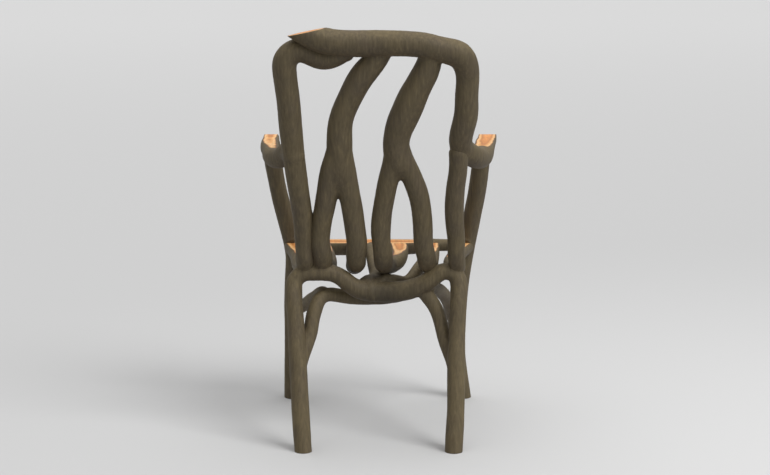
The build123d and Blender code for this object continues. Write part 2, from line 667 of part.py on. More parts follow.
def build_chair():
    """Every node of the chair by name, each a list of its solids."""
    runs = branch_runs()
    grown = {name: whole_branch(parts, JOINT_GAP) for name, parts in runs.items()}
    shapes = {}
    for name, parts in runs.items():
        shape = whole_branch(parts)
        for host in SHAPED_ROUND.get(name, ()):
            shape = shape - grown[host]
        shapes[name] = shape

    seat = flat_cutter(SEAT_HEIGHT, SEAT_FLAT_FORWARD)
    for name in ("left_stile", "right_lower_stile", "left_splat", "right_splat"):
        shapes[name] = shapes[name] - seat
    tilt = Pos(0, -RAIL_FORWARD, SEAT_HEIGHT + RAIL_FLAT_RISE) * Rotation(-RAIL_FLAT_TILT, 0, 0)
    rail_flat = flat_cutter(SEAT_HEIGHT, SEAT_FLAT_FORWARD, right=-RAIL_FLAT_END)
    shapes["front_rail"] -= tilt * Pos(0, RAIL_FORWARD, -SEAT_HEIGHT) * rail_flat
    front_cut = box_between(
        (-CUTTER_REACH, -CUTTER_REACH, SEAT_HEIGHT), (CUTTER_REACH, -ARM_FRONT_FORWARD, CREST_HEIGHT)
    )
    shapes["left_arm"] -= flat_cutter(ARM_HEIGHT, LEFT_ARM_FLAT_FORWARD) + front_cut
    shapes["crest_branch"] -= flat_cutter(ARM_HEIGHT, RIGHT_ARM_FLAT_FORWARD, left=0) + front_cut
    shapes["crest_branch"] -= bevel_cutter()

    below_floor = box_between((-CUTTER_REACH, -CUTTER_REACH, -CUTTER_REACH), (CUTTER_REACH, CUTTER_REACH, 0))
    for name in ("left_front_leg", "right_front_leg", "left_rear_leg", "right_rear_leg"):
        shapes[name] -= below_floor
    meeting = (ARCH_MEETING, -CUTTER_REACH, 0)
    shapes["right_rear_leg"] -= box_between(meeting, (CUTTER_REACH, CUTTER_REACH, SEAT_HEIGHT))
    shapes["left_rear_leg"] -= box_between(
        (-CUTTER_REACH, -CUTTER_REACH, 0), (ARCH_MEETING + JOINT_GAP, CUTTER_REACH, SEAT_HEIGHT)
    )

    for name in shapes:
        shapes[name] = largest(shapes[name])

    bores = {name: [] for name in shapes}
    for name, index, end, host, diameter in TENONS:
        place, way = entry(runs[name][index], end, runs[host])
        root = place - way * TENON_ROOT
        shapes[name] += rod(root, place + way * TENON_LENGTH, diameter)
        bore = rod(root, place + way * (TENON_LENGTH + TENON_GAP), diameter + 2 * TENON_GAP)
        for crossed in {host, *SHAPED_ROUND[name]}:
            bores[crossed].append(bore)
    meeting_place = (ARCH_MEETING, -ARCH_FORWARD, SEAT_HEIGHT - ARCH_DIP)
    arch_end, _ = nearest_row(runs["right_rear_leg"][0], meeting_place)
    across = np.array((1.0, 0.0, 0.0))
    spigot_root = arch_end + across * TENON_ROOT
    shapes["left_rear_leg"] += rod(spigot_root, arch_end - across * TENON_LENGTH, BACK_TENON_DIAMETER)
    bores["right_rear_leg"].append(
        rod(spigot_root, arch_end - across * (TENON_LENGTH + TENON_GAP), BACK_TENON_DIAMETER + 2 * TENON_GAP)
    )

    nodes = {}
    for node, rows in screw_places(runs).items():
        nodes[node] = [screw(place, way, length) for place, way, length, _ in rows]
        for place, way, length, held in rows:
            for name in held:
                bores[name].append(screw_hole(place, way, length))
    for name, shape in shapes.items():
        for bore in bores[name]:
            shape = shape - bore
        nodes[name] = [largest(shape)]
    return nodes


def main():
    """Builds the chair, stands it over the origin and writes one file for each node."""
    nodes = build_chair()
    everything = Compound([solid for solids in nodes.values() for solid in solids])
    middle = everything.bounding_box().center()
    os.makedirs("parts", exist_ok=True)
    for name, solids in nodes.items():
        placed = [Pos(-middle.X, -middle.Y, 0) * solid for solid in solids]
        export_step(placed[0] if len(placed) == 1 else Compound(placed), f"parts/{name}.step")


if __name__ == "__main__":
    main()
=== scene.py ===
import math

import bpy
import numpy as np
from mathutils import Euler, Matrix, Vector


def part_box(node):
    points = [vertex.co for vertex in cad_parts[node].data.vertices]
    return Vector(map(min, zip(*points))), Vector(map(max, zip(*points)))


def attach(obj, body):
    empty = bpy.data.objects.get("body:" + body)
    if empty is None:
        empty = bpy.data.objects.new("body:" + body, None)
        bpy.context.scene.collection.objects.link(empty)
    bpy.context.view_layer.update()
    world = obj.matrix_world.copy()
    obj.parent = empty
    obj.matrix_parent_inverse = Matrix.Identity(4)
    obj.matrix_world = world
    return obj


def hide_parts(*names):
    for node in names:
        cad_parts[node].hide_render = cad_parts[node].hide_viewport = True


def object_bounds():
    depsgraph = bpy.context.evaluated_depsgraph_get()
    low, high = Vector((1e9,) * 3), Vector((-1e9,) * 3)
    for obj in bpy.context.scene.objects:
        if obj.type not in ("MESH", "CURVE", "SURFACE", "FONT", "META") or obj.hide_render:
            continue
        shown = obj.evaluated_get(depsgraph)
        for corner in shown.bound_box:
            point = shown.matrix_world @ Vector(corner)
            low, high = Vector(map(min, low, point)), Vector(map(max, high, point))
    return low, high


# A rustic armchair grown out of bent branches. The branches' middle lines are written in
# millimetres from the rear feet (+X the sitter's left, -Y forward, +Z up) and are moved and
# turned to metres only when a mesh is made.

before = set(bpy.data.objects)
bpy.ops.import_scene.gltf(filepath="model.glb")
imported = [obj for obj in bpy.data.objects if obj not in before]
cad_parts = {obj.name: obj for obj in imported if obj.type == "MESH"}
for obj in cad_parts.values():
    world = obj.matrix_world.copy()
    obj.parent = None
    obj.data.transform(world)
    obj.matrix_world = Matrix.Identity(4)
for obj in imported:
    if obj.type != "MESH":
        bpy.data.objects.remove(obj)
cad_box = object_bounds()

# ---- Sizes shared with the solid model, in mm ----
SEAT_HEIGHT = 410
ARM_HEIGHT = 675
CREST_HEIGHT = 925
REAR_FOOT_SPREAD = 342
FRONT_FOOT_SPREAD = 426
WAIST_WIDTH = 346
SEAT_FRONT_WIDTH = 424
BACK_WIDTH = 396
ARM_SPREAD = 524
FRONT_FOOT_FORWARD = 455
BACK_FORWARD = 70
ARCH_FORWARD = 80
RAIL_FORWARD = 388
ARM_FRONT_FORWARD = 384
BACK_TILT = 11.3
CREST_THICKNESS = 56
STILE_THICKNESS = 51
LOWER_STILE_THICKNESS = 42
ARM_THICKNESS = 46
LEFT_TRUNK_THICKNESS = 55
RIGHT_TRUNK_THICKNESS = 60
TINE_THICKNESS = 45
FRONT_LEG_THICKNESS = 44
REAR_LEG_THICKNESS = 40
FRONT_RAIL_THICKNESS = 44
BRACE_THICKNESS = 31
FORK_THICKNESS = 33
SEAT_FLAT_FORWARD = 195
RAIL_FLAT_END = 125
RAIL_FLAT_RISE = 2
RAIL_FLAT_TILT = 6
LEFT_ARM_FLAT_FORWARD = 131
RIGHT_ARM_FLAT_FORWARD = 150
RUN_OUT = 60
BEVEL_RISE = 15
BEVEL_SLOPE = 12
BEVEL_LENGTH = 100
ARCH_MEETING = 16

# ---- How the bark's skin is made, in mm ----
ROW_SPACING = 4
RING_SIDES = 28
FIRST_SIDE = (0.3, 1.0, 0.2)
SKIN_CELL = 3.0
CAP_TURNS = np.radians((20, 40, 58, 72, 83))
CAP_LENGTH = 0.4
# Rows left off the thin end of the return under the crest, and how far a support's top is covered
RETURN_TRIM = 7
SUPPORT_COVER = 3

# Fillets in a fork, at a joint and where branches are only laid against each other, and how they
# fade as two skins turn parallel
FORK_FILLET = 12
JOINT_FILLET = 6
LAP_FILLET = 2.5
FILLET_FADE = 1.5
FILLET_LEAST = 0.02
BURIED = 3.0

# How points are moved onto the skin: in batches of near ones, by a few limited steps
BATCH_CELL = 60
BATCH_SIZE = 700
REACH = 20
STEP_LIMIT = 4
OWN_STEPS = 3
SHARED_STEPS = 4

# The bark's relief: each kind's height, the shift of its noise and its noise's cells
SWELLS = (0.7, 0, (42, 42, 60))
RIBS = (0.25, 500, (9, 9, 42))
RISES = (0.15, 900, (6, 6, 10))
NOISE_SEED = 11
NOISE_CORNERS = 32

# The cutters' grid, how far they stand clear, and how near a cut face is to its plane
CUT_CELL = 4.0
CUT_REACH = 60
BEVEL_REACH = 50
ON_PLANE = 0.02
FACING_PLANE = 0.9995
LEAST_RADIUS = 1.0

# The solid model stands over the origin: two of its sawn planes show how far it was moved
SHIFT = np.array((
    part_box("right_rear_leg")[1].x * 1000 - ARCH_MEETING,
    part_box("left_arm")[0].y * 1000 + ARM_FRONT_FORWARD,
    0.0,
))
CAD_LOW, CAD_HIGH = (np.array(corner) * 1000 - SHIFT for corner in cad_box)


def share(start, end, part):
    """The value that lies the given part of the way from start to end."""
    return start + (end - start) * part


def back_height(part):
    """A height on the back, from 0 at the seat to 1 at the middle of the crest."""
    return share(SEAT_HEIGHT, CREST_HEIGHT, part)


def back_depth(z):
    """The place of the leaning back at a height, rising backwards from the seat."""
    return -BACK_FORWARD + (z - SEAT_HEIGHT) * math.tan(math.radians(BACK_TILT))


def on_back(x, part, size=1.0):
    """A point of a branch of the back, at a share of the back's height."""
    z = back_height(part)
    return (x, back_depth(z), z, size)


def stile_side(part):
    """Half the width between the stiles at a share of the back's height."""
    return share(WAIST_WIDTH, BACK_WIDTH, part) / 2


def seat_depth(part):
    """A place on the seat, from 0 at the back to 1 at the front rail."""
    return -share(BACK_FORWARD, RAIL_FORWARD, part)


def on_seat(x, part, drop, size=1.0):
    """A point of a branch under the seat's flat top, by how far its middle lies below it."""
    return (x, seat_depth(part), SEAT_HEIGHT - drop, size)


def on_arm(x, part, drop, size=1.0):
    """A point of an arm, from 0 at the stile to 1 at its front end."""
    return (x, share(back_depth(ARM_HEIGHT), -ARM_FRONT_FORWARD, part), ARM_HEIGHT - drop, size)


def rear_leg_point(x, part, size=1.0):
    """A point of a rear leg, from 0 at the foot to 1 under the arch, bending forward."""
    return (x, -ARCH_FORWARD * part ** 1.2, SEAT_HEIGHT * part, size)


def front_leg_point(x, part, size=1.0):
    """A point of a front leg, from 0 at the foot to 1 at the seat."""
    return (x, -share(FRONT_FOOT_FORWARD, RAIL_FORWARD + 4, part), SEAT_HEIGHT * part, size)


# ---- The middle lines of the branches: x, y, z and a share of the branch's thickness ----

SLAT_LINE = (
    (-0.01, -31), (0.03, -14), (0.11, -2), (0.24, 9), (0.37, 18), (0.52, 18.5), (0.72, 13), (0.88, 10),
    (0.98, 10.5),
)
SLAT_SIZES = (0.97, 0.96, 0.94, 0.9, 0.87, 0.9, 0.93, 0.92, 0.9)


def slat(places):
    """The seat part of a tine, from its elbow to the front rail, by its place across."""
    return [on_seat(x, part, drop, size) for x, (part, drop), size in zip(places, SLAT_LINE, SLAT_SIZES)]


def crest_line():
    """The crest, down its right-hand stile and knee, and out along the right arm."""
    back = back_depth(CREST_HEIGHT)
    edge = BACK_WIDTH / 2
    crest = [
        (edge - 8, back + 13, CREST_HEIGHT + 43, 0.89),
        (edge - 48, back + 13, CREST_HEIGHT + 20, 0.96),
        (edge - 93, back + 13, CREST_HEIGHT + 4, 1.02),
        (60, back + 12, CREST_HEIGHT, 1.03),
        (0, back + 11, CREST_HEIGHT, 1.03),
        (-58, back + 10, CREST_HEIGHT - 1, 1.0),
        (97 - edge, back + 8, CREST_HEIGHT - 5, 1.0),
        (57 - edge, back + 4, CREST_HEIGHT - 15, 1.0),
        (21 - edge, back - 2, CREST_HEIGHT - 28, 1.06),
    ]
    stile = [
        on_back(2 - stile_side(0.88), 0.885, 0.96),
        on_back(-1 - stile_side(0.78), 0.78, 0.92),
        on_back(-2 - stile_side(0.68), 0.68, 0.95),
    ]
    hip = stile_side(0.57)
    reach = ARM_SPREAD / 2
    arm = [
        (4 - hip, back_depth(ARM_HEIGHT) + 8, ARM_HEIGHT + 47, 0.94),
        (5 - hip, back_depth(ARM_HEIGHT) + 2, ARM_HEIGHT + 31, 0.93),
        on_arm(-hip, 0.03, -13, 0.92),
        on_arm(57 - reach, 0.095, 4, 0.91),
        on_arm(41 - reach, 0.2, 16, 0.89),
        on_arm(28 - reach, 0.335, 21.5, 0.89),
        on_arm(19 - reach, 0.5, 15.5, 0.88),
        on_arm(12 - reach, 0.66, 12, 0.84),
        on_arm(5 - reach, 0.83, 9, 0.8),
        on_arm(-2 - reach, 1.03, 5.5, 0.77),
    ]
    return crest + stile + arm


def left_stile_line():
    """The left stile, from its return under the crest to the left side of the seat."""
    back = back_depth(CREST_HEIGHT)
    edge = BACK_WIDTH / 2
    crown = [
        (edge - 154, back + 1, CREST_HEIGHT - 15, 0.8),
        (edge - 130, back - 1, CREST_HEIGHT - 18, 0.85),
        (edge - 105, back - 5, CREST_HEIGHT - 29, 0.93),
        (edge - 80, back - 7, CREST_HEIGHT - 33, 0.99),
        (edge - 56, back - 8, CREST_HEIGHT - 25, 1.0),
        (edge - 33, back - 8, CREST_HEIGHT - 17, 1.02),
        (edge - 11, back - 8, CREST_HEIGHT - 23, 1.03),
        (edge + 2, back - 9, CREST_HEIGHT - 40, 1.04),
    ]
    bows = ((7, 0.87, 1.03), (4, 0.77, 1.0), (3, 0.66, 1.0), (1, 0.55, 0.965), (-2, 0.45, 0.95),
            (-6, 0.34, 0.92), (-10, 0.23, 0.85), (-9, 0.175, 0.8), (-8, 0.09, 0.75))
    stile = [on_back(stile_side(part) + bow, part, size) for bow, part, size in bows]
    front = SEAT_FRONT_WIDTH / 2
    waist = WAIST_WIDTH / 2
    side = [
        on_seat(waist - 7, 0.0, -18, 0.79),
        on_seat(waist - 7, 0.05, -1, 0.79),
        on_seat(waist - 3, 0.14, 11, 0.76),
        on_seat(waist + 9, 0.36, 17, 0.74),
        on_seat(front - 20, 0.67, 15, 0.75),
        on_seat(front - 7, 0.88, 12, 0.75),
        on_seat(front - 1, 0.97, 12, 0.75),
    ]
    return crown + stile + side


def right_lower_stile_line():
    """The lower right stile, from under the knee of the arm to the right side of the seat."""
    bows = ((9, 0.52, 1.0), (7, 0.44, 1.0), (9, 0.39, 1.0), (10, 0.34, 1.01), (10, 0.28, 1.02),
            (8, 0.23, 1.0), (4, 0.175, 0.98), (0, 0.12, 0.95), (-2, 0.06, 0.93))
    stile = [on_back(bow - stile_side(part), part, size) for bow, part, size in bows]
    front = SEAT_FRONT_WIDTH / 2
    waist = WAIST_WIDTH / 2
    side = [
        on_seat(-5 - waist, 0.0, -16, 0.92),
        on_seat(-6 - waist, 0.05, 0, 0.92),
        on_seat(-4 - waist, 0.14, 11, 0.92),
        on_seat(2 - waist, 0.38, 16, 0.92),
        on_seat(24 - front, 0.71, 14, 0.92),
        on_seat(8 - front, 0.9, 12, 0.91),
        on_seat(0 - front, 0.98, 12, 0.9),
    ]
    return stile + side


def back_points(places):
    """Points of the back from rows of place across, share of the height and size."""
    return [on_back(x, part, size) for x, part, size in places]


def left_splat_lines():
    """The left splat's trunk and its two tines, which fork below the middle of the back."""
    trunk = back_points((
        (-9, 0.975, 0.93), (9, 0.918, 0.96), (30.5, 0.868, 1.02), (61, 0.765, 0.99), (81.5, 0.66, 1.0),
        (84.5, 0.553, 1.04), (87, 0.47, 1.0), (88, 0.4, 0.75), (89, 0.37, 0.4),
    ))
    outer = back_points((
        (84, 0.63, 0.95), (87, 0.56, 1.05), (94, 0.5, 1.12), (103, 0.447, 1.1), (109.5, 0.394, 1.07),
        (114, 0.34, 1.06), (119, 0.285, 1.04), (124, 0.23, 0.98), (127.5, 0.175, 0.94), (128, 0.09, 0.95),
    )) + slat((125, 124.5, 123.5, 120, 117, 118, 127, 134, 137))
    inner = back_points((
        (82, 0.605, 0.95), (81, 0.56, 1.03), (78, 0.5, 1.08), (73, 0.447, 1.09), (68, 0.394, 1.06),
        (63.5, 0.34, 1.05), (58.5, 0.285, 1.05), (51, 0.175, 1.05), (48, 0.09, 1.02),
    )) + slat((49, 49, 50.5, 54, 56, 56, 57, 57, 57))
    return trunk, outer, inner


def right_splat_lines():
    """The right splat's thicker trunk and its two tines, the inner one crossing to the middle."""
    trunk = back_points((
        (-115, 0.975, 0.85), (-111, 0.918, 0.9), (-101.5, 0.868, 0.97), (-87.5, 0.816, 1.0),
        (-75, 0.765, 1.07), (-64, 0.713, 1.09), (-52, 0.66, 1.07), (-43, 0.606, 0.99),
        (-40, 0.553, 0.97), (-43, 0.5, 0.97), (-46, 0.46, 0.75), (-47, 0.445, 0.45),
    ))
    inner = back_points((
        (-42, 0.62, 0.9), (-40.5, 0.57, 1.03), (-37, 0.5, 1.12), (-29.5, 0.447, 1.05), (-22, 0.394, 1.03),
        (-16.5, 0.34, 1.02), (-11.5, 0.285, 1.0), (-6, 0.175, 0.99), (-9, 0.09, 0.93),
    )) + slat((-11, -12, -14, -19, -28, -42, -50, -50, -47))
    outer = back_points((
        (-42, 0.62, 0.9), (-45, 0.57, 1.0), (-53, 0.5, 1.1), (-67.5, 0.447, 1.03), (-79.5, 0.394, 1.02),
        (-89.5, 0.34, 1.02), (-95.5, 0.285, 1.0), (-100.5, 0.175, 1.0), (-104, 0.09, 0.98),
    )) + slat((-108, -111, -114, -118, -120, -122, -125, -127, -127))
    return trunk, inner, outer


def left_arm_line():
    """The left arm, from the stile's front, round its knuckle and forward over the leg."""
    reach = ARM_SPREAD / 2
    return [
        on_arm(stile_side(0.51) - 2, -0.01, 3, 1.0),
        on_arm(stile_side(0.51) + 15, 0.1, -2, 1.0),
        on_arm(reach - 45, 0.195, 15, 1.0),
        on_arm(reach - 27, 0.295, 21.5, 1.0),
        on_arm(reach - 16, 0.47, 18, 0.97),
        on_arm(reach - 8, 0.635, 15.5, 0.94),
        on_arm(reach - 4, 0.83, 13.5, 0.9),
        on_arm(reach - 3, 1.03, 10.5, 0.85),
    ]


def front_leg_line(side, legs, supports):
    """A front leg and the arm support that it grows into, as bows off a straight line."""
    leg = [
        front_leg_point(side * (share(FRONT_FOOT_SPREAD, SEAT_FRONT_WIDTH, part) / 2 + bow), part, size)
        for bow, part, size in legs
    ]
    support = [
        (
            side * (share(SEAT_FRONT_WIDTH, ARM_SPREAD, part) / 2 + bow),
            -share(RAIL_FORWARD + 4, ARM_FRONT_FORWARD - 30, part),
            share(SEAT_HEIGHT, ARM_HEIGHT, part),
            size,
        )
        for bow, part, size in supports
    ]
    return leg + support


def left_front_leg_line():
    """The left front leg, nearly straight, with a support that bows out above the seat."""
    legs = ((3, -0.04, 1.04), (3, 0.02, 1.03), (1, 0.24, 1.02), (-1, 0.5, 1.02), (-3, 0.76, 1.01),
            (-5, 0.93, 1.0))
    supports = ((1, 0.12, 0.97), (4, 0.3, 0.94), (6, 0.46, 0.93), (5, 0.66, 0.94), (2.5, 0.8, 0.97),
                (-2, 0.925, 0.93))
    return front_leg_line(1, legs, supports)


def right_front_leg_line():
    """The right front leg, which bows in below the seat and kicks out at the foot."""
    legs = ((-2, -0.04, 1.05), (-5, 0.02, 1.04), (-10, 0.11, 1.02), (-17, 0.23, 1.02), (-20, 0.4, 1.01),
            (-17, 0.57, 1.0), (-11, 0.76, 1.0), (-1, 0.93, 0.99))
    supports = ((4, 0.12, 0.98), (3.5, 0.34, 0.98), (1, 0.57, 0.99), (-3, 0.74, 0.98), (-6, 0.925, 0.93))
    return front_leg_line(-1, legs, supports)


def rear_leg(side, bows):
    """The upright part of a rear leg, as bows off a straight line from the foot to the waist."""
    return [
        rear_leg_point(side * (share(REAR_FOOT_SPREAD, WAIST_WIDTH, part) / 2 + bow), max(part, 0), size)
        for bow, part, size in bows
    ]


def on_arch(x, forward, drop, size):
    """A point of the arches that the back stands on, by its drop below the seat."""
    return (x, -ARCH_FORWARD - forward, SEAT_HEIGHT - drop, size)


def left_rear_leg_line():
    """The left rear leg, over its shoulder and along the arch, down to the knot in the middle."""
    foot = (REAR_FOOT_SPREAD / 2 - 2, 1, -10, 0.98)
    bows = ((1, 0.08, 0.99), (4.5, 0.23, 1.01), (7, 0.36, 1.0), (9.5, 0.49, 0.99), (12, 0.62, 0.96),
            (16, 0.75, 0.94), (19, 0.86, 0.94))
    waist = WAIST_WIDTH / 2
    arch = [
        on_arch(waist + 14, -3, 29, 0.95),
        on_arch(waist - 3, 0, 15, 0.97),
        on_arch(waist - 27, 0, 12.5, 0.97),
        on_arch(121, 0, 12.5, 0.97),
        on_arch(98, 1, 17, 0.98),
        on_arch(75, 3, 32, 1.01),
        on_arch(53, 6, 49, 1.07),
        on_arch(30, 12, 57, 1.17),
        on_arch(6, 15, 61, 1.17),
    ]
    return [foot] + rear_leg(1, bows) + arch


def right_rear_leg_line():
    """The right rear leg, over its shoulder and along the arch, through the knot in the middle."""
    foot = (-REAR_FOOT_SPREAD / 2, 1, -10, 1.03)
    bows = ((1.5, 0.08, 1.03), (4, 0.2, 1.0), (5, 0.42, 1.03), (5.5, 0.55, 1.0), (7, 0.68, 0.94),
            (9.5, 0.82, 0.96))
    waist = WAIST_WIDTH / 2
    arch = [
        on_arch(-10 - waist, -6, 40, 0.98),
        on_arch(-4 - waist, -1, 21, 0.99),
        on_arch(12 - waist, 0, 11, 0.98),
        on_arch(28 - waist, 0, 11.5, 0.98),
        on_arch(-127, 1, 23, 1.0),
        on_arch(-106, 4, 38.5, 1.05),
        on_arch(-84, 8, 50, 1.1),
        on_arch(-50, 12, 59, 1.15),
        on_arch(-15, 15, 61, 1.18),
        on_arch(22, 14, 59, 1.16),
    ]
    return [foot] + rear_leg(-1, bows) + arch


def front_rail_line():
    """The front rail of the seat, thinner towards its right end."""
    edge = SEAT_FRONT_WIDTH / 2
    rows = ((edge - 8, 11, 0.86), (edge - 62, 11, 0.97), (94, 11, 1.0), (20, 11, 1.0), (-60, 11, 0.97),
            (-98, 10, 0.84), (-126, 8.5, 0.72), (-158, 8, 0.67), (30 - edge, 8, 0.66), (8 - edge, 8, 0.66))
    return [(x, -RAIL_FORWARD, SEAT_HEIGHT - drop, size) for x, drop, size in rows]


def below_seat(places):
    """Points under the seat from rows of place across, place forward, drop and size."""
    return [(x, -forward, SEAT_HEIGHT - drop, size) for x, forward, drop, size in places]


def left_rear_brace_line():
    """The brace that leaves the left rear leg, rises and runs level to the knot."""
    return [rear_leg_point(REAR_FOOT_SPREAD / 2 + 5, 0.44, 0.8)] + below_seat((
        (170, 45, 198, 0.97), (162, 55, 175, 1.0), (154, 66, 148, 1.04), (150, 76, 121, 1.06),
        (143, 86, 95, 1.09), (131, 98, 75, 1.07), (112, 108, 70, 1.05), (88, 114, 74, 1.05),
        (53, 118, 79, 1.05), (19, 118, 79, 1.08), (-20, 114, 77, 1.05), (-48, 106, 71, 1.0),
    ))


def right_rear_brace_line():
    """The brace that leaves the right rear leg and rises to the arch."""
    return [rear_leg_point(-REAR_FOOT_SPREAD / 2 - 5, 0.38, 0.8)] + below_seat((
        (-166, 56, 204, 1.0), (-155, 68, 174, 1.03), (-147, 77, 146, 1.03), (-140, 84, 120, 1.03),
        (-129, 89, 94, 1.06), (-113, 90, 71, 1.06), (-100, 88, 54, 1.0),
    ))


def left_front_brace_line():
    """The brace from the left front leg back to the left rear brace."""
    return [front_leg_point(FRONT_FOOT_SPREAD / 2 - 5, 0.55, 0.85)] + below_seat((
        (196, 372, 163, 0.92), (183, 330, 147, 0.94), (165, 275, 122, 0.95), (147, 220, 99, 0.95),
        (131, 165, 78, 0.94), (119, 118, 72, 0.9),
    ))


def right_front_brace_line():
    """The brace from the right front leg back to the right arch."""
    return [front_leg_point(17 - FRONT_FOOT_SPREAD / 2, 0.46, 0.85)] + below_seat((
        (-181, 385, 188, 0.93), (-173, 340, 155, 0.95), (-162, 280, 117, 0.97), (-148, 220, 88, 1.0),
        (-136, 165, 70, 1.0), (-125, 120, 57, 0.98), (-116, 92, 48, 0.95),
    ))


def fork_lines():
    """The forked brace under the seat, from the knot to the front rail and to a slat."""
    left = below_seat((
        (34, 94, 50, 1.15), (26, 108, 46, 1.2), (13, 132, 46, 1.2), (4, 168, 42, 1.1), (8, 230, 33, 1.0),
        (13, 290, 23, 0.97), (17, 345, 14.5, 0.97), (18, 376, 14, 0.95),
    ))
    right = below_seat((
        (0, 106, 54, 1.0), (-18, 120, 46, 1.15), (-38, 134, 48, 1.12), (-60, 156, 54, 1.03),
        (-88, 215, 42, 0.92), (-104, 268, 30, 0.88), (-114, 300, 24, 0.86),
    ))
    return left, right


BRANCHES = {
    "crest_branch": [(crest_line(), CREST_THICKNESS)],
    "left_stile": [(left_stile_line(), STILE_THICKNESS)],
    "right_lower_stile": [(right_lower_stile_line(), LOWER_STILE_THICKNESS)],
    "left_splat": list(zip(left_splat_lines(), [LEFT_TRUNK_THICKNESS] + 2 * [TINE_THICKNESS])),
    "right_splat": list(zip(right_splat_lines(), [RIGHT_TRUNK_THICKNESS] + 2 * [TINE_THICKNESS])),
    "left_arm": [(left_arm_line(), ARM_THICKNESS)],
    "left_front_leg": [(left_front_leg_line(), FRONT_LEG_THICKNESS)],
    "right_front_leg": [(right_front_leg_line(), FRONT_LEG_THICKNESS)],
    "left_rear_leg": [(left_rear_leg_line(), REAR_LEG_THICKNESS)],
    "right_rear_leg": [(right_rear_leg_line(), REAR_LEG_THICKNESS)],
    "front_rail": [(front_rail_line(), FRONT_RAIL_THICKNESS)],
    "left_rear_brace": [(left_rear_brace_line(), BRACE_THICKNESS)],
    "right_rear_brace": [(right_rear_brace_line(), BRACE_THICKNESS)],
    "left_front_brace": [(left_front_brace_line(), BRACE_THICKNESS)],
    "right_front_brace": [(right_front_brace_line(), BRACE_THICKNESS)],
    "forked_seat_brace": [(line, FORK_THICKNESS) for line in fork_lines()],
}

# Lumps of the knot in the middle of the arches: one where a tine of the forked brace grows over
# the arch, and one that rises to the elbow of a slat
KNOT_LUMPS = (
    below_seat(((4, 150, 46, 1.1), (18, 110, 46, 1.2), (19, 88, 58, 1.2), (15, 86, 67, 0.95))),
    below_seat(((6, 96, 62, 1.1), (-3, 104, 48, 1.0), (-10, 112, 37, 0.9))),
)
BRANCHES["forked_seat_brace"] += [(lump, FORK_THICKNESS) for lump in KNOT_LUMPS]

# Branches that are only laid against each other, so their crease stays sharp
LAPPED = {frozenset(("crest_branch", "left_stile"))}


# ---- Shapes worked out as arrays ----

def unit(vectors):
    """Each row divided by its length."""
    return vectors / np.maximum(np.linalg.norm(vectors, axis=-1, keepdims=True), 1e-9)


def smooth_line(points, spacing):
    """A natural cubic spline, timed by the distance between points, through the rows of x, y, z
    and size: between two points each value is the cubic whose bends at them solve the row of
    equations that keeps the slope unbroken. Returns rows at even steps of about the spacing."""
    rows = np.array(points, dtype=float)
    gaps = np.linalg.norm(np.diff(rows[:, :3], axis=0), axis=1)
    times = np.concatenate([[0], np.cumsum(gaps)])
    count = len(rows)
    slopes = np.diff(rows, axis=0) / gaps[:, None]
    system = np.eye(count)
    inner = np.arange(1, count - 1)
    system[inner, inner - 1] = gaps[:-1]
    system[inner, inner] = 2 * (gaps[:-1] + gaps[1:])
    system[inner, inner + 1] = gaps[1:]
    known = np.zeros_like(rows)
    known[1:-1] = 6 * np.diff(slopes, axis=0)
    bends = np.linalg.solve(system, known)
    steps = np.linspace(0, times[-1], max(4, round(times[-1] / spacing)) + 1)
    left = np.clip(np.searchsorted(times, steps, side="right") - 1, 0, count - 2)
    gap = gaps[left][:, None]
    after = (steps - times[left])[:, None]
    before = gap - after
    return (
        (bends[left] * before**3 + bends[left + 1] * after**3) / (6 * gap)
        + (rows[left] / gap - bends[left] * gap / 6) * before
        + (rows[left + 1] / gap - bends[left + 1] * gap / 6) * after
    )


def ring_faces(rings, sides):
    """The faces of a closed grid: quads between each ring and the next, and a lid on each end."""
    base = np.arange(rings - 1)[:, None] * sides
    first = base + np.arange(sides)[None]
    second = base + (np.arange(sides)[None] + 1) % sides
    quads = np.stack([first, second, second + sides, first + sides], axis=-1).reshape(-1, 4)
    start = np.arange(sides)[::-1]
    end = start[::-1] + (rings - 1) * sides
    return quads.tolist() + [start.tolist(), end.tolist()]


def tube(rows):
    """A closed tube: round rings carried along the rows of middle and radius. A ring's point is
    its middle plus the radius times (cos a, sin a) on two axes square to the path, which turn
    with it as little as they can. Past each end the rings shrink by cos b and move out by a share
    of sin b, which rounds it. Returns the points and the faces."""
    runs = unit(np.gradient(rows[:, :3], axis=0))
    shrink = np.cos(CAP_TURNS)[:, None] - 1
    move = CAP_LENGTH * np.sin(CAP_TURNS)[:, None]
    before = rows[:1] + rows[0, 3] * np.hstack([-move * runs[:1], shrink])[::-1]
    after = rows[-1:] + rows[-1, 3] * np.hstack([move * runs[-1:], shrink])
    rows = np.concatenate([before, rows, after])
    first_runs = runs[:1].repeat(len(CAP_TURNS), axis=0)
    last_runs = runs[-1:].repeat(len(CAP_TURNS), axis=0)
    runs = np.concatenate([first_runs, runs, last_runs])
    sides = np.empty_like(runs)
    side = np.cross(runs[0], FIRST_SIDE)
    for i, run in enumerate(runs):
        side = side - run * (side @ run)
        side = side / np.linalg.norm(side)
        sides[i] = side
    ups = np.cross(runs, sides)
    turn = np.arange(RING_SIDES) * 2 * math.pi / RING_SIDES
    ring = np.cos(turn)[None, :, None] * sides[:, None] + np.sin(turn)[None, :, None] * ups[:, None]
    points = (rows[:, None, :3] + rows[:, None, 3:] * ring).reshape(-1, 3)
    return points, ring_faces(len(rows), RING_SIDES)


LATTICE = np.random.default_rng(NOISE_SEED).uniform(-1, 1, 3 * (NOISE_CORNERS,))


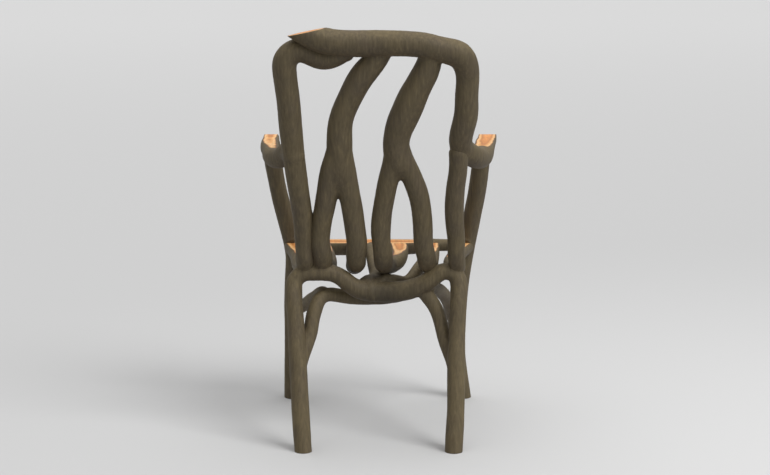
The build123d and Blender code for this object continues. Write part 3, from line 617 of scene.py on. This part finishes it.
def noise(places, cell):
    """Smooth noise from -1 to 1: random values at the corners of cells of the given size, eased
    from corner to corner by 3t^2 - 2t^3 on each axis."""
    at = places / np.array(cell)
    low = np.floor(at).astype(int)
    part = at - low
    part = part * part * (3 - 2 * part)
    total = np.zeros(len(places))
    for corner in np.ndindex(2, 2, 2):
        weight = np.prod(np.where(corner, part, 1 - part), axis=1)
        i, j, k = ((low + corner) % NOISE_CORNERS).T
        total += weight * LATTICE[i, j, k]
    return total


def run_distance(places, rows):
    """For each place, the distance to a run's skin and the way out of it: the least over the
    run's short straight pieces of the distance to the piece less the radius there."""
    start, step = rows[:-1], np.diff(rows, axis=0)
    apart = places[:, None] - start[None, :, :3]
    along = np.einsum("nmk,mk->nm", apart, step[:, :3]) / (step[:, :3] ** 2).sum(axis=1)
    along = np.clip(along, 0, 1)
    apart = apart - along[..., None] * step[None, :, :3]
    far = np.sqrt((apart ** 2).sum(axis=2))
    height = far - start[None, :, 3] - along * step[None, :, 3]
    best = height.argmin(axis=1)
    every = np.arange(len(places))
    return height[every, best], apart[every, best] / np.maximum(far[every, best], 1e-6)[:, None]


def blended(places, tubes):
    """The smooth union of tubes: the least distance, rounded off where two come within a fillet
    k of each other by k * h * (1 - h), h running from 0 to 1 across the crease. The fillet
    shrinks as the two skins turn parallel, so a fork doesn't swell."""
    value, way = run_distance(places, tubes[0][0])
    for rows, fillet in tubes[1:]:
        other, other_way = run_distance(places, rows)
        size = fillet * np.clip(FILLET_FADE * (1 - (way * other_way).sum(axis=1)), FILLET_LEAST, 1)
        mix = np.clip(0.5 + 0.5 * (other - value) / size, 0, 1)
        value = other * (1 - mix) + value * mix - size * mix * (1 - mix)
        way = unit(other_way * (1 - mix)[:, None] + way * mix[:, None])
    return value, way


def near(rows, low, high):
    """The stretch of a run that comes into a box, or None."""
    inside = ((rows[:, :3] + rows[:, 3:] > low) & (rows[:, :3] - rows[:, 3:] < high)).all(axis=1)
    found = np.flatnonzero(inside)
    if not len(found):
        return None
    first = min(max(found[0] - 1, 0), len(rows) - 2)
    return rows[first:max(found[-1] + 2, first + 2)]


def newton(spots, tubes, steps):
    """Steps spots along the way out, each time by the blended distance that is left."""
    for _ in range(steps):
        value, way = blended(spots, tubes)
        spots = spots - way * np.clip(value, -STEP_LIMIT, STEP_LIMIT)[:, None]
    return spots, way


LINES = {
    branch_name: [smooth_line(points, ROW_SPACING) * (1, 1, 1, thickness / 2) for points, thickness in runs]
    for branch_name, runs in BRANCHES.items()
}
# The return under the crest thins out into it, so its rounded end stands for its last rows
LINES["left_stile"][0] = LINES["left_stile"][0][RETURN_TRIM:]


def settle(name, places):
    """Moves a branch's rough points onto its finished skin, by Newton's rule down the blended
    distance. A point in the open goes to the blend of its own runs with its neighbours', and one
    inside a neighbour stays on its own runs' skin, the share of each changing over BURIED mm, so
    each branch covers its own half of a fillet. Returns the points and the ways out."""
    settled = places.copy()
    ways = np.zeros_like(places)
    across, forward, up = (places // BATCH_CELL).T
    order = np.lexsort((forward, across, up))
    for part in np.array_split(order, max(1, len(order) // BATCH_SIZE)):
        spots = places[part]
        low, high = spots.min(axis=0) - REACH, spots.max(axis=0) + REACH
        own = [(near(rows, low, high), FORK_FILLET) for rows in LINES[name]]
        own = [run for run in own if run[0] is not None]
        others = []
        depth = np.full(len(spots), float(BURIED))
        for other, lines in LINES.items():
            fillet = LAP_FILLET if frozenset((name, other)) in LAPPED else JOINT_FILLET
            for rows in lines:
                close = near(rows, low, high)
                if other != name and close is not None:
                    others.append((close, fillet))
                    depth = np.minimum(depth, run_distance(spots, close)[0])
        alone, way = newton(spots, own, OWN_STEPS)
        if others:
            together, shared_way = newton(alone, own + others, SHARED_STEPS)
            open_share = np.clip(1 + depth / BURIED, 0, 1)[:, None]
            alone = share(alone, together, open_share)
            way = unit(share(way, shared_way, open_share))
        settled[part] = alone
        ways[part] = way
    return settled, ways


def relief(places):
    """How far the bark stands out: the sum of slow swells, lengthwise ribs and small rises, each
    its height times noise with its own cells."""
    return sum(height * noise(places + shift, cell) for height, shift, cell in (SWELLS, RIBS, RISES))


# ---- Meshes ----

def mesh_from(name, points, faces):
    """A mesh from points in mm and faces."""
    mesh = bpy.data.meshes.new(name)
    mesh.from_pydata(((points + SHIFT) / 1000).tolist(), [], faces)
    mesh.update()
    return mesh


def object_from(name, mesh):
    """An object at the origin that shows a mesh."""
    made = bpy.data.objects.new(name, mesh)
    bpy.context.scene.collection.objects.link(made)
    return made


def apply_modifiers(piece):
    """Replaces a piece's mesh by what its modifiers make of it."""
    shown = piece.evaluated_get(bpy.context.evaluated_depsgraph_get())
    finished = bpy.data.meshes.new_from_object(shown)
    piece.modifiers.clear()
    rough = piece.data
    piece.data = finished
    bpy.data.meshes.remove(rough)


def mesh_points(mesh):
    """A mesh's points in mm."""
    points = np.empty(len(mesh.vertices) * 3)
    mesh.vertices.foreach_get("co", points)
    return points.reshape(-1, 3) * 1000 - SHIFT


def set_points(mesh, points):
    """Puts points in mm back into a mesh."""
    mesh.vertices.foreach_set("co", ((points + SHIFT) / 1000).ravel())
    mesh.update()


def resampled(outline):
    """A closed outline with a point at least every cut cell along each straight edge."""
    corners = np.array(outline, dtype=float)
    return np.concatenate([
        share(a, b, np.arange(count)[:, None] / count)
        for a, b in zip(corners, np.roll(corners, -1, axis=0))
        for count in [max(1, math.ceil(np.linalg.norm(b - a) / CUT_CELL))]
    ])


def prism(name, outline, place, turn, low, high):
    """A closed cutter: an outline of (y, z) carried along x from low to high in even stations,
    then turned (degrees about x, y, z) and moved to a place."""
    profile = resampled(outline)
    stations = np.linspace(low, high, max(2, math.ceil((high - low) / CUT_CELL)) + 1)
    grid = np.empty((len(stations), len(profile), 3))
    grid[..., 0] = stations[:, None]
    grid[..., 1:] = profile[None]
    rotation = np.array(Euler([math.radians(t) for t in turn]).to_matrix())
    points = grid.reshape(-1, 3) @ rotation.T + np.array(place)
    mesh = mesh_from(name, points, ring_faces(len(stations), len(profile)))
    mesh.validate()
    return object_from(name, mesh)


def flat_outline(height, start, front):
    """The outline of what stands above a height, from clear of a front edge back to a start, and
    then above a run-out that rises at 45 degrees."""
    reach, top = -front - CUT_REACH, height + RUN_OUT
    return ((reach, height), (-start, height), (-start + RUN_OUT, top), (reach, top))


def rectangle(front, back, low, high):
    """The outline of a rectangle, by its two places in y and its two heights."""
    return ((front, low), (back, low), (back, high), (front, high))


def cut(piece, cutter):
    """Takes a cutter off a piece, exactly, and throws the cutter away."""
    step = piece.modifiers.new("cut", "BOOLEAN")
    step.operation = "DIFFERENCE"
    step.solver = "EXACT"
    step.object = cutter
    apply_modifiers(piece)
    spent = cutter.data
    bpy.data.objects.remove(cutter)
    bpy.data.meshes.remove(spent)


SEAT_CUT = flat_outline(SEAT_HEIGHT, SEAT_FLAT_FORWARD, RAIL_FORWARD)
LEFT_ARM_CUT = flat_outline(ARM_HEIGHT, LEFT_ARM_FLAT_FORWARD, ARM_FRONT_FORWARD)
RIGHT_ARM_CUT = flat_outline(ARM_HEIGHT, RIGHT_ARM_FLAT_FORWARD, ARM_FRONT_FORWARD)
ARM_FRONT_CUT = rectangle(
    -ARM_FRONT_FORWARD - CUT_REACH, -ARM_FRONT_FORWARD, ARM_HEIGHT - CUT_REACH, ARM_HEIGHT + CUT_REACH,
)
RAIL_CUT = rectangle(-CUT_REACH, CUT_REACH, 0, CUT_REACH)
CREST_DEPTH = back_depth(CREST_HEIGHT)
BEVEL_CUT = rectangle(CREST_DEPTH - CUT_REACH, CREST_DEPTH + CUT_REACH, 0, CUT_REACH)
FLOOR_CUT = rectangle(-CUT_REACH, CUT_REACH, -CUT_REACH, 0)


def cutters(name, low, high):
    """The cutters that shape a branch's sawn and shaved faces, over its reach from low to high."""
    left, right = low[0] - CUT_CELL, high[0] + CUT_CELL
    still = (0, 0, 0)
    if name in ("left_stile", "right_lower_stile", "left_splat", "right_splat"):
        yield prism("seat_cut", SEAT_CUT, still, still, left, right)
    if name == "front_rail":
        place = (0, -RAIL_FORWARD, SEAT_HEIGHT + RAIL_FLAT_RISE)
        yield prism("rail_cut", RAIL_CUT, place, (-RAIL_FLAT_TILT, 0, 0), -RAIL_FLAT_END, right)
    if name == "left_arm":
        yield prism("arm_cut", LEFT_ARM_CUT, still, still, left, right)
        yield prism("arm_front_cut", ARM_FRONT_CUT, still, still, left, right)
    if name == "crest_branch":
        arm_right = left + 2 * CUT_REACH
        yield prism("arm_cut", RIGHT_ARM_CUT, still, still, left, arm_right)
        yield prism("arm_front_cut", ARM_FRONT_CUT, still, still, left, arm_right)
        place = (BACK_WIDTH / 2, 0, CREST_HEIGHT + BEVEL_RISE)
        yield prism("bevel_cut", BEVEL_CUT, place, (0, BEVEL_SLOPE, 0), -BEVEL_LENGTH, BEVEL_REACH)
    if name in ("left_front_leg", "right_front_leg", "left_rear_leg", "right_rear_leg"):
        forward = FRONT_FOOT_FORWARD if "front" in name else 0
        yield prism("floor_cut", FLOOR_CUT, (0, -forward, 0), still, left, right)


def is_cut(mesh):
    """Which faces are sawn or shaved: those that lie in one of the cutting planes."""
    count = len(mesh.polygons)
    centres, normals = np.empty(count * 3), np.empty(count * 3)
    mesh.polygons.foreach_get("center", centres)
    mesh.polygons.foreach_get("normal", normals)
    centres = centres.reshape(-1, 3) * 1000 - SHIFT
    normals = normals.reshape(-1, 3)
    slope, tilt = math.radians(BEVEL_SLOPE), math.radians(RAIL_FLAT_TILT)
    ramp = math.sqrt(0.5)
    planes = [
        ((0, 0, SEAT_HEIGHT), (0, 0, 1)),
        ((0, -SEAT_FLAT_FORWARD, SEAT_HEIGHT), (0, -ramp, ramp)),
        ((0, 0, ARM_HEIGHT), (0, 0, 1)),
        ((0, -LEFT_ARM_FLAT_FORWARD, ARM_HEIGHT), (0, -ramp, ramp)),
        ((0, -RIGHT_ARM_FLAT_FORWARD, ARM_HEIGHT), (0, -ramp, ramp)),
        ((0, -ARM_FRONT_FORWARD, 0), (0, -1, 0)),
        ((BACK_WIDTH / 2, 0, CREST_HEIGHT + BEVEL_RISE), (math.sin(slope), 0, math.cos(slope))),
        ((0, -RAIL_FORWARD, SEAT_HEIGHT + RAIL_FLAT_RISE), (0, math.sin(tilt), math.cos(tilt))),
        ((-RAIL_FLAT_END, 0, 0), (1, 0, 0)),
        ((0, 0, 0), (0, 0, -1)),
    ]
    found = np.zeros(count, dtype=bool)
    for place, normal in planes:
        off = np.abs((centres - np.array(place)) @ np.array(normal))
        found |= (off < ON_PLANE) & (np.abs(normals @ np.array(normal)) > FACING_PLANE)
    return found


def core_share(name, places):
    """How far out each place lies in its branch: 0 on the middle line, 1 on the skin. It's the
    distance to the line over the radius, which is that distance less the distance to the skin."""
    shares = []
    for rows in LINES[name]:
        far = run_distance(places, rows * (1, 1, 1, 0))[0]
        shares.append(far / np.maximum(far - run_distance(places, rows)[0], LEAST_RADIUS))
    return np.min(shares, axis=0)


def skin(name):
    """The finished skin of a branch: its tubes merged into one, settled onto the blended skin,
    given the bark's relief, kept inside the solid model's box and cut. Cut faces take the second
    material, and the attribute core says how far out in the branch each point lies."""
    points, faces = [], []
    for rows in LINES[name]:
        run_points, run_faces = tube(rows)
        base = sum(len(p) for p in points)
        faces += [[base + corner for corner in face] for face in run_faces]
        points.append(run_points)
    piece = object_from(name + "_skin", mesh_from(name + "_skin", np.concatenate(points), faces))
    merge = piece.modifiers.new("merge", "REMESH")
    merge.mode = "VOXEL"
    merge.voxel_size = SKIN_CELL / 1000
    apply_modifiers(piece)
    places, ways = settle(name, mesh_points(piece.data))
    places = places + ways * relief(places)[:, None]
    places[:, :2] = places[:, :2].clip(CAD_LOW[:2], CAD_HIGH[:2])
    if "front_leg" in name:
        places[:, 2] = np.minimum(places[:, 2], ARM_HEIGHT - SUPPORT_COVER)
    set_points(piece.data, places)
    for cutter in cutters(name, places.min(axis=0), places.max(axis=0)):
        cut(piece, cutter)
    mesh = piece.data
    core = mesh.attributes.new("core", "FLOAT", "POINT")
    core.data.foreach_set("value", core_share(name, mesh_points(mesh)).astype(np.float32))
    shaved = is_cut(mesh)
    mesh.materials.clear()
    mesh.materials.append(BARK)
    mesh.materials.append(CUT_WOOD)
    mesh.polygons.foreach_set("material_index", shaved.astype(np.int32))
    mesh.polygons.foreach_set("use_smooth", ~shaved)
    mesh.update()
    return piece


# ---- Materials ----

def colour(code):
    """A colour from its sRGB hex code, turned to linear."""
    parts = [int(code[i:i + 2], 16) / 255 for i in (1, 3, 5)]
    return [p / 12.92 if p <= 0.04045 else ((p + 0.055) / 1.055) ** 2.4 for p in parts] + [1.0]


def add(tree, kind, inputs, stops=None, **settings):
    """Adds a node with its settings, its ramp's stops, and its inputs: values or other outputs."""
    made = tree.nodes.new(kind)
    for key, value in settings.items():
        setattr(made, key, value)
    if stops:
        for _ in stops[2:]:
            made.color_ramp.elements.new(0.5)
        for element, (place, code) in zip(made.color_ramp.elements, stops):
            element.position = place
            element.color = colour(code)
    for key, value in inputs.items():
        if isinstance(value, bpy.types.NodeSocket):
            tree.links.new(value, made.inputs[key])
        else:
            made.inputs[key].default_value = value
    return made


def new_material(name):
    """An empty node material, and its tree."""
    made = bpy.data.materials.new(name)
    made.use_nodes = True
    made.node_tree.nodes.clear()
    return made, made.node_tree


def per_metre(size_mm):
    """A noise scale whose features are about a size in mm."""
    return 1000 / size_mm


def dry_bark():
    """Dry, smooth bark of a hardwood branch: matt olive brown, with fine upright streaks where
    the outer skin has cracked and slightly warmer patches where it has rubbed. Its colour has
    painted light in it: paler on its upper sides and darker on its undersides, and darker with
    painted shade round the knot under the seat. It is also scaled paler towards the floor."""
    material, tree = new_material("dry_branch_bark")
    place = add(tree, "ShaderNodeTexCoord", {}).outputs["Object"]
    upright = add(tree, "ShaderNodeMapping", {"Vector": place, "Scale": (1, 1, 0.1)}).outputs["Vector"]
    # The cracks are under 1 mm wide and are drawn as coarse as they need to be to show
    streaks = add(tree, "ShaderNodeTexNoise", {
        "Vector": upright, "Scale": per_metre(5.5), "Detail": 4, "Roughness": 0.6,
    })
    fine = add(tree, "ShaderNodeTexNoise", {
        "Vector": upright, "Scale": per_metre(2.2), "Detail": 3, "Roughness": 0.6,
    })
    patches = add(tree, "ShaderNodeTexNoise", {
        "Vector": place, "Scale": per_metre(55), "Detail": 3, "Roughness": 0.5,
    })
    streak_colour = add(tree, "ShaderNodeValToRGB", {"Fac": streaks.outputs["Fac"]}, stops=(
        (0.30, "#3f3525"), (0.45, "#4d4330"), (0.57, "#574c37"), (0.74, "#6a5d42"),
    ))
    patch_colour = add(tree, "ShaderNodeValToRGB", {"Fac": patches.outputs["Fac"]}, stops=(
        (0.32, "#4a4032"), (0.5, "#514732"), (0.68, "#5a4f36"),
    ))
    blend = add(tree, "ShaderNodeMix", {
        "Factor": 0.45, "A": streak_colour.outputs["Color"], "B": patch_colour.outputs["Color"],
    }, data_type="RGBA")
    shade = add(tree, "ShaderNodeMapRange", {
        "Value": fine.outputs["Fac"], "From Min": 0.3, "From Max": 0.7, "To Min": 0.9, "To Max": 1.08,
    })
    facing = add(tree, "ShaderNodeNewGeometry", {}).outputs["Normal"]
    upward = add(tree, "ShaderNodeSeparateXYZ", {"Vector": facing}).outputs["Z"]
    # Painted light: the bark is painted paler on its upper sides and darker on its undersides, as light
    # from above falls on it
    painted_top_light = add(tree, "ShaderNodeValToRGB", {
        "Fac": add(tree, "ShaderNodeMapRange", {"Value": upward, "From Min": -1.0}).outputs["Result"],
    }, stops=((0.0, "#b3aba2"), (0.42, "#d0d0d0"), (0.62, "#d6d6d6"), (0.92, "#ffffff")))
    # The bark's colour is scaled up by 1.66 from half a metre up to 1.98 near the floor, so it is paler
    # towards the floor
    height_up = add(tree, "ShaderNodeSeparateXYZ", {"Vector": place}).outputs["Z"]
    low_brightening = add(tree, "ShaderNodeMapRange", {
        "Value": height_up, "From Min": 0.15, "From Max": 0.5, "To Min": 1.98, "To Max": 1.66,
    }, interpolation_type="SMOOTHSTEP")
    # Painted shade: the bark is darkened round the knot, where the seat shades the arches
    from_knot = add(tree, "ShaderNodeVectorMath", {
        0: place, 1: tuple((KNOT_PLACE + SHIFT) / 1000),
    }, operation="DISTANCE").outputs["Value"]
    painted_knot_shade = add(tree, "ShaderNodeMapRange", {
        "Value": from_knot, "From Min": 0.0, "From Max": 0.1, "To Min": 0.42, "To Max": 1.0,
    })
    # The painted shade round the knot times the brightening towards the floor
    knot_shade_and_brightening = add(tree, "ShaderNodeMath", {
        0: painted_knot_shade.outputs["Result"], 1: low_brightening.outputs["Result"],
    }, operation="MULTIPLY")
    strength = add(tree, "ShaderNodeMath", {
        0: shade.outputs["Result"], 1: knot_shade_and_brightening.outputs["Value"],
    }, operation="MULTIPLY")
    # The bark's colour times its painted top light and under shade
    bark_with_painted_light = add(tree, "ShaderNodeVectorMath", {
        0: blend.outputs["Result"], 1: painted_top_light.outputs["Color"],
    }, operation="MULTIPLY")
    tint = add(tree, "ShaderNodeVectorMath", {
        0: bark_with_painted_light.outputs["Vector"], "Scale": strength.outputs["Value"],
    }, operation="SCALE")
    height = add(tree, "ShaderNodeMath", {
        0: streaks.outputs["Fac"], 1: fine.outputs["Fac"],
    }, operation="ADD")
    bump = add(tree, "ShaderNodeBump", {
        "Height": height.outputs["Value"], "Distance": 0.0005, "Strength": 0.4,
    })
    shader = add(tree, "ShaderNodeBsdfPrincipled", {
        "Base Color": tint.outputs["Vector"], "Roughness": 0.7, "IOR": 1.45,
        "Normal": bump.outputs["Normal"],
    })
    add(tree, "ShaderNodeOutputMaterial", {"Surface": shader.outputs["BSDF"]})
    return material


def fresh_cut_wood():
    """Freshly shaved wood of the branches: satin, honey orange heartwood that browns outwards, a
    cream band of sapwood round it that is also a painted highlight along the cut's edge, and a brown line
    of inner bark at the edge of the cut."""
    material, tree = new_material("fresh_shaved_wood")
    place = add(tree, "ShaderNodeTexCoord", {}).outputs["Object"]
    core = add(tree, "ShaderNodeAttribute", {}, attribute_name="core").outputs["Fac"]
    wander = add(tree, "ShaderNodeTexNoise", {"Vector": place, "Scale": per_metre(45), "Detail": 1})
    sway = add(tree, "ShaderNodeMapRange", {
        "Value": wander.outputs["Fac"], "From Min": 0.3, "From Max": 0.7, "To Min": -0.05, "To Max": 0.05,
    })
    moved = add(tree, "ShaderNodeMath", {0: core, 1: sway.outputs["Result"]}, operation="ADD")
    # The cream band near the edge is sapwood and also a painted highlight along the cut's edge
    bands = add(tree, "ShaderNodeValToRGB", {"Fac": moved.outputs["Value"]}, stops=(
        (0.25, "#eda35a"), (0.45, "#e59850"), (0.56, "#d78c49"), (0.65, "#c37c40"), (0.73, "#eaa962"),
        (0.84, "#f4c58b"), (0.91, "#edb678"), (0.955, "#8e5a2e"), (1.0, "#5a4026"),
    ))
    along = add(tree, "ShaderNodeMapping", {"Vector": place, "Scale": (1, 0.15, 1)}).outputs["Vector"]
    grain = add(tree, "ShaderNodeTexNoise", {"Vector": along, "Scale": per_metre(5), "Detail": 3})
    shade = add(tree, "ShaderNodeMapRange", {
        "Value": grain.outputs["Fac"], "From Min": 0.3, "From Max": 0.7, "To Min": 0.84, "To Max": 1.1,
    })
    tint = add(tree, "ShaderNodeVectorMath", {
        0: bands.outputs["Color"], "Scale": shade.outputs["Result"],
    }, operation="SCALE")
    bump = add(tree, "ShaderNodeBump", {
        "Height": grain.outputs["Fac"], "Distance": 0.0002, "Strength": 0.4,
    })
    shader = add(tree, "ShaderNodeBsdfPrincipled", {
        "Base Color": tint.outputs["Vector"], "Roughness": 0.55, "IOR": 1.48,
        "Normal": bump.outputs["Normal"],
    })
    add(tree, "ShaderNodeOutputMaterial", {"Surface": shader.outputs["BSDF"]})
    return material


def zinc_steel():
    """Zinc-plated steel of a wood screw: grey, softly bright, with a faint cloudy plating."""
    material, tree = new_material("zinc_plated_steel")
    place = add(tree, "ShaderNodeTexCoord", {}).outputs["Object"]
    cloud = add(tree, "ShaderNodeTexNoise", {"Vector": place, "Scale": per_metre(1.5), "Detail": 3})
    rough = add(tree, "ShaderNodeMapRange", {"Value": cloud.outputs["Fac"], "To Min": 0.28, "To Max": 0.5})
    tone = add(tree, "ShaderNodeValToRGB", {"Fac": cloud.outputs["Fac"]}, stops=(
        (0.3, "#9a9c9e"), (0.7, "#c2c4c6"),
    ))
    shader = add(tree, "ShaderNodeBsdfPrincipled", {
        "Base Color": tone.outputs["Color"], "Metallic": 1.0, "Roughness": rough.outputs["Result"],
    })
    add(tree, "ShaderNodeOutputMaterial", {"Surface": shader.outputs["BSDF"]})
    return material


def floor_paint():
    """Matt pale grey of the studio floor, with painted light: a little lighter far in front of the
    chair, and a painted pool of light round a point behind it on its right."""
    material, tree = new_material("pale_matt_floor")
    place = add(tree, "ShaderNodeTexCoord", {}).outputs["Object"]
    # Painted light: a pool of light painted round a point behind the chair on its right
    away = add(tree, "ShaderNodeVectorMath", {
        0: place, 1: PAINTED_LIGHT_POOL,
    }, operation="DISTANCE").outputs["Value"]
    spot = add(tree, "ShaderNodeMapRange", {
        "Value": away, "From Min": 0.0, "From Max": 3.4, "To Min": 1.24, "To Max": 0.95,
    }, interpolation_type="SMOOTHSTEP")
    # Painted light: the floor is painted lighter far in front of the chair
    forward = add(tree, "ShaderNodeSeparateXYZ", {"Vector": place}).outputs["Y"]
    far = add(tree, "ShaderNodeMapRange", {
        "Value": forward, "From Min": -16.0, "From Max": -1.0, "To Min": 1.12, "To Max": 1.0,
    }, interpolation_type="SMOOTHSTEP")
    both = add(tree, "ShaderNodeMath", {
        0: spot.outputs["Result"], 1: far.outputs["Result"],
    }, operation="MULTIPLY")
    tint = add(tree, "ShaderNodeVectorMath", {
        0: colour("#c8c8c8")[:3], "Scale": both.outputs["Value"],
    }, operation="SCALE")
    shader = add(tree, "ShaderNodeBsdfPrincipled", {"Base Color": tint.outputs["Vector"], "Roughness": 0.9})
    add(tree, "ShaderNodeOutputMaterial", {"Surface": shader.outputs["BSDF"]})
    return material


# The middle of the knot in mm, round which the bark has painted shade, and the middle of the floor's
# painted pool of light in metres
KNOT_PLACE = np.array((-22, -ARCH_FORWARD, SEAT_HEIGHT - 60))
PAINTED_LIGHT_POOL = (-1.5, 0.9, 0.0)

BARK = dry_bark()
CUT_WOOD = fresh_cut_wood()
STEEL = zinc_steel()

# ---- The chair ----

for branch_name in BRANCHES:
    branch_piece = skin(branch_name)
    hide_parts(branch_name)
    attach(branch_piece, "root")

for screw_name in ("lap_screws", "seat_screws"):
    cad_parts[screw_name].data.materials[0] = STEEL


# ---- The studio ----

FLOOR_REACH = 60.0
CORNERS = ((-1, -1, 0), (1, -1, 0), (1, 1, 0), (-1, 1, 0))
floor_mesh = bpy.data.meshes.new("studio_floor")
floor_mesh.from_pydata((np.array(CORNERS) * FLOOR_REACH).tolist(), [], [(0, 1, 2, 3)])
floor = object_from("studio_floor", floor_mesh)
floor_mesh.materials.append(floor_paint())

# The key light comes from high on the right behind the chair, as wide as a near softbox
KEY_WAY = (2.4, -2.2, -2.9)
KEY_STRENGTH = 1.8
KEY_WIDTH = 30
key_data = bpy.data.lights.new("key_light", "SUN")
key_data.energy = KEY_STRENGTH
key_data.angle = math.radians(KEY_WIDTH)
key = bpy.data.objects.new("key_light", key_data)
bpy.context.scene.collection.objects.link(key)
key.rotation_euler = (
    math.atan2(math.hypot(KEY_WAY[0], KEY_WAY[1]), -KEY_WAY[2]), 0, math.atan2(-KEY_WAY[0], KEY_WAY[1]),
)

# The sky is a broad overhead softbox: its strength rises from its edge, by its height as the sine
# of the angle, to straight above. To the camera, and in what reflects it, it's never darker than
# the floor.
SKY_EDGE = 0.35
SKY_STRENGTH = (0.04, 1.5)
SKY_SEEN = 0.72
world = bpy.data.worlds.new("soft_studio")
bpy.context.scene.world = world
world.use_nodes = True
sky = world.node_tree
sky.nodes.clear()
aim = add(sky, "ShaderNodeTexCoord", {}).outputs["Generated"]
upward = add(sky, "ShaderNodeSeparateXYZ", {"Vector": aim}).outputs["Z"]
lit = add(sky, "ShaderNodeMapRange", {
    "Value": upward, "From Min": SKY_EDGE, "From Max": 1.0,
    "To Min": SKY_STRENGTH[0], "To Max": SKY_STRENGTH[1],
}, interpolation_type="SMOOTHSTEP")
rays = add(sky, "ShaderNodeLightPath", {}).outputs
mirrored = add(sky, "ShaderNodeMath", {
    0: rays["Is Glossy Ray"], 1: rays["Is Transmission Ray"],
}, operation="MAXIMUM")
seen = add(sky, "ShaderNodeMath", {
    0: rays["Is Camera Ray"], 1: mirrored.outputs["Value"],
}, operation="MAXIMUM")
shown = add(sky, "ShaderNodeMath", {0: seen.outputs["Value"], 1: SKY_SEEN}, operation="MULTIPLY")
strength = add(sky, "ShaderNodeMath", {
    0: lit.outputs["Result"], 1: shown.outputs["Value"],
}, operation="MAXIMUM")
surround = add(sky, "ShaderNodeBackground", {
    "Color": colour("#f6f6f6"), "Strength": strength.outputs["Value"],
})
add(sky, "ShaderNodeOutputWorld", {"Surface": surround.outputs["Background"]})

# The camera stands behind the chair and looks forward and slightly down
CAMERA_PLACE = (-15.5, 3800, 1200)
CAMERA_PITCH = 10.54
LENS_LENGTH = 81.55
SENSOR_WIDTH = 36
camera_data = bpy.data.cameras.new("camera")
camera_data.sensor_width = SENSOR_WIDTH
camera_data.lens = LENS_LENGTH
camera = bpy.data.objects.new("camera", camera_data)
bpy.context.scene.collection.objects.link(camera)
camera.location = (np.array(CAMERA_PLACE) + SHIFT) / 1000
camera.rotation_euler = (math.radians(90 - CAMERA_PITCH), 0, math.radians(180))
bpy.context.scene.camera = camera
bpy.context.scene.view_settings.view_transform = "Standard"
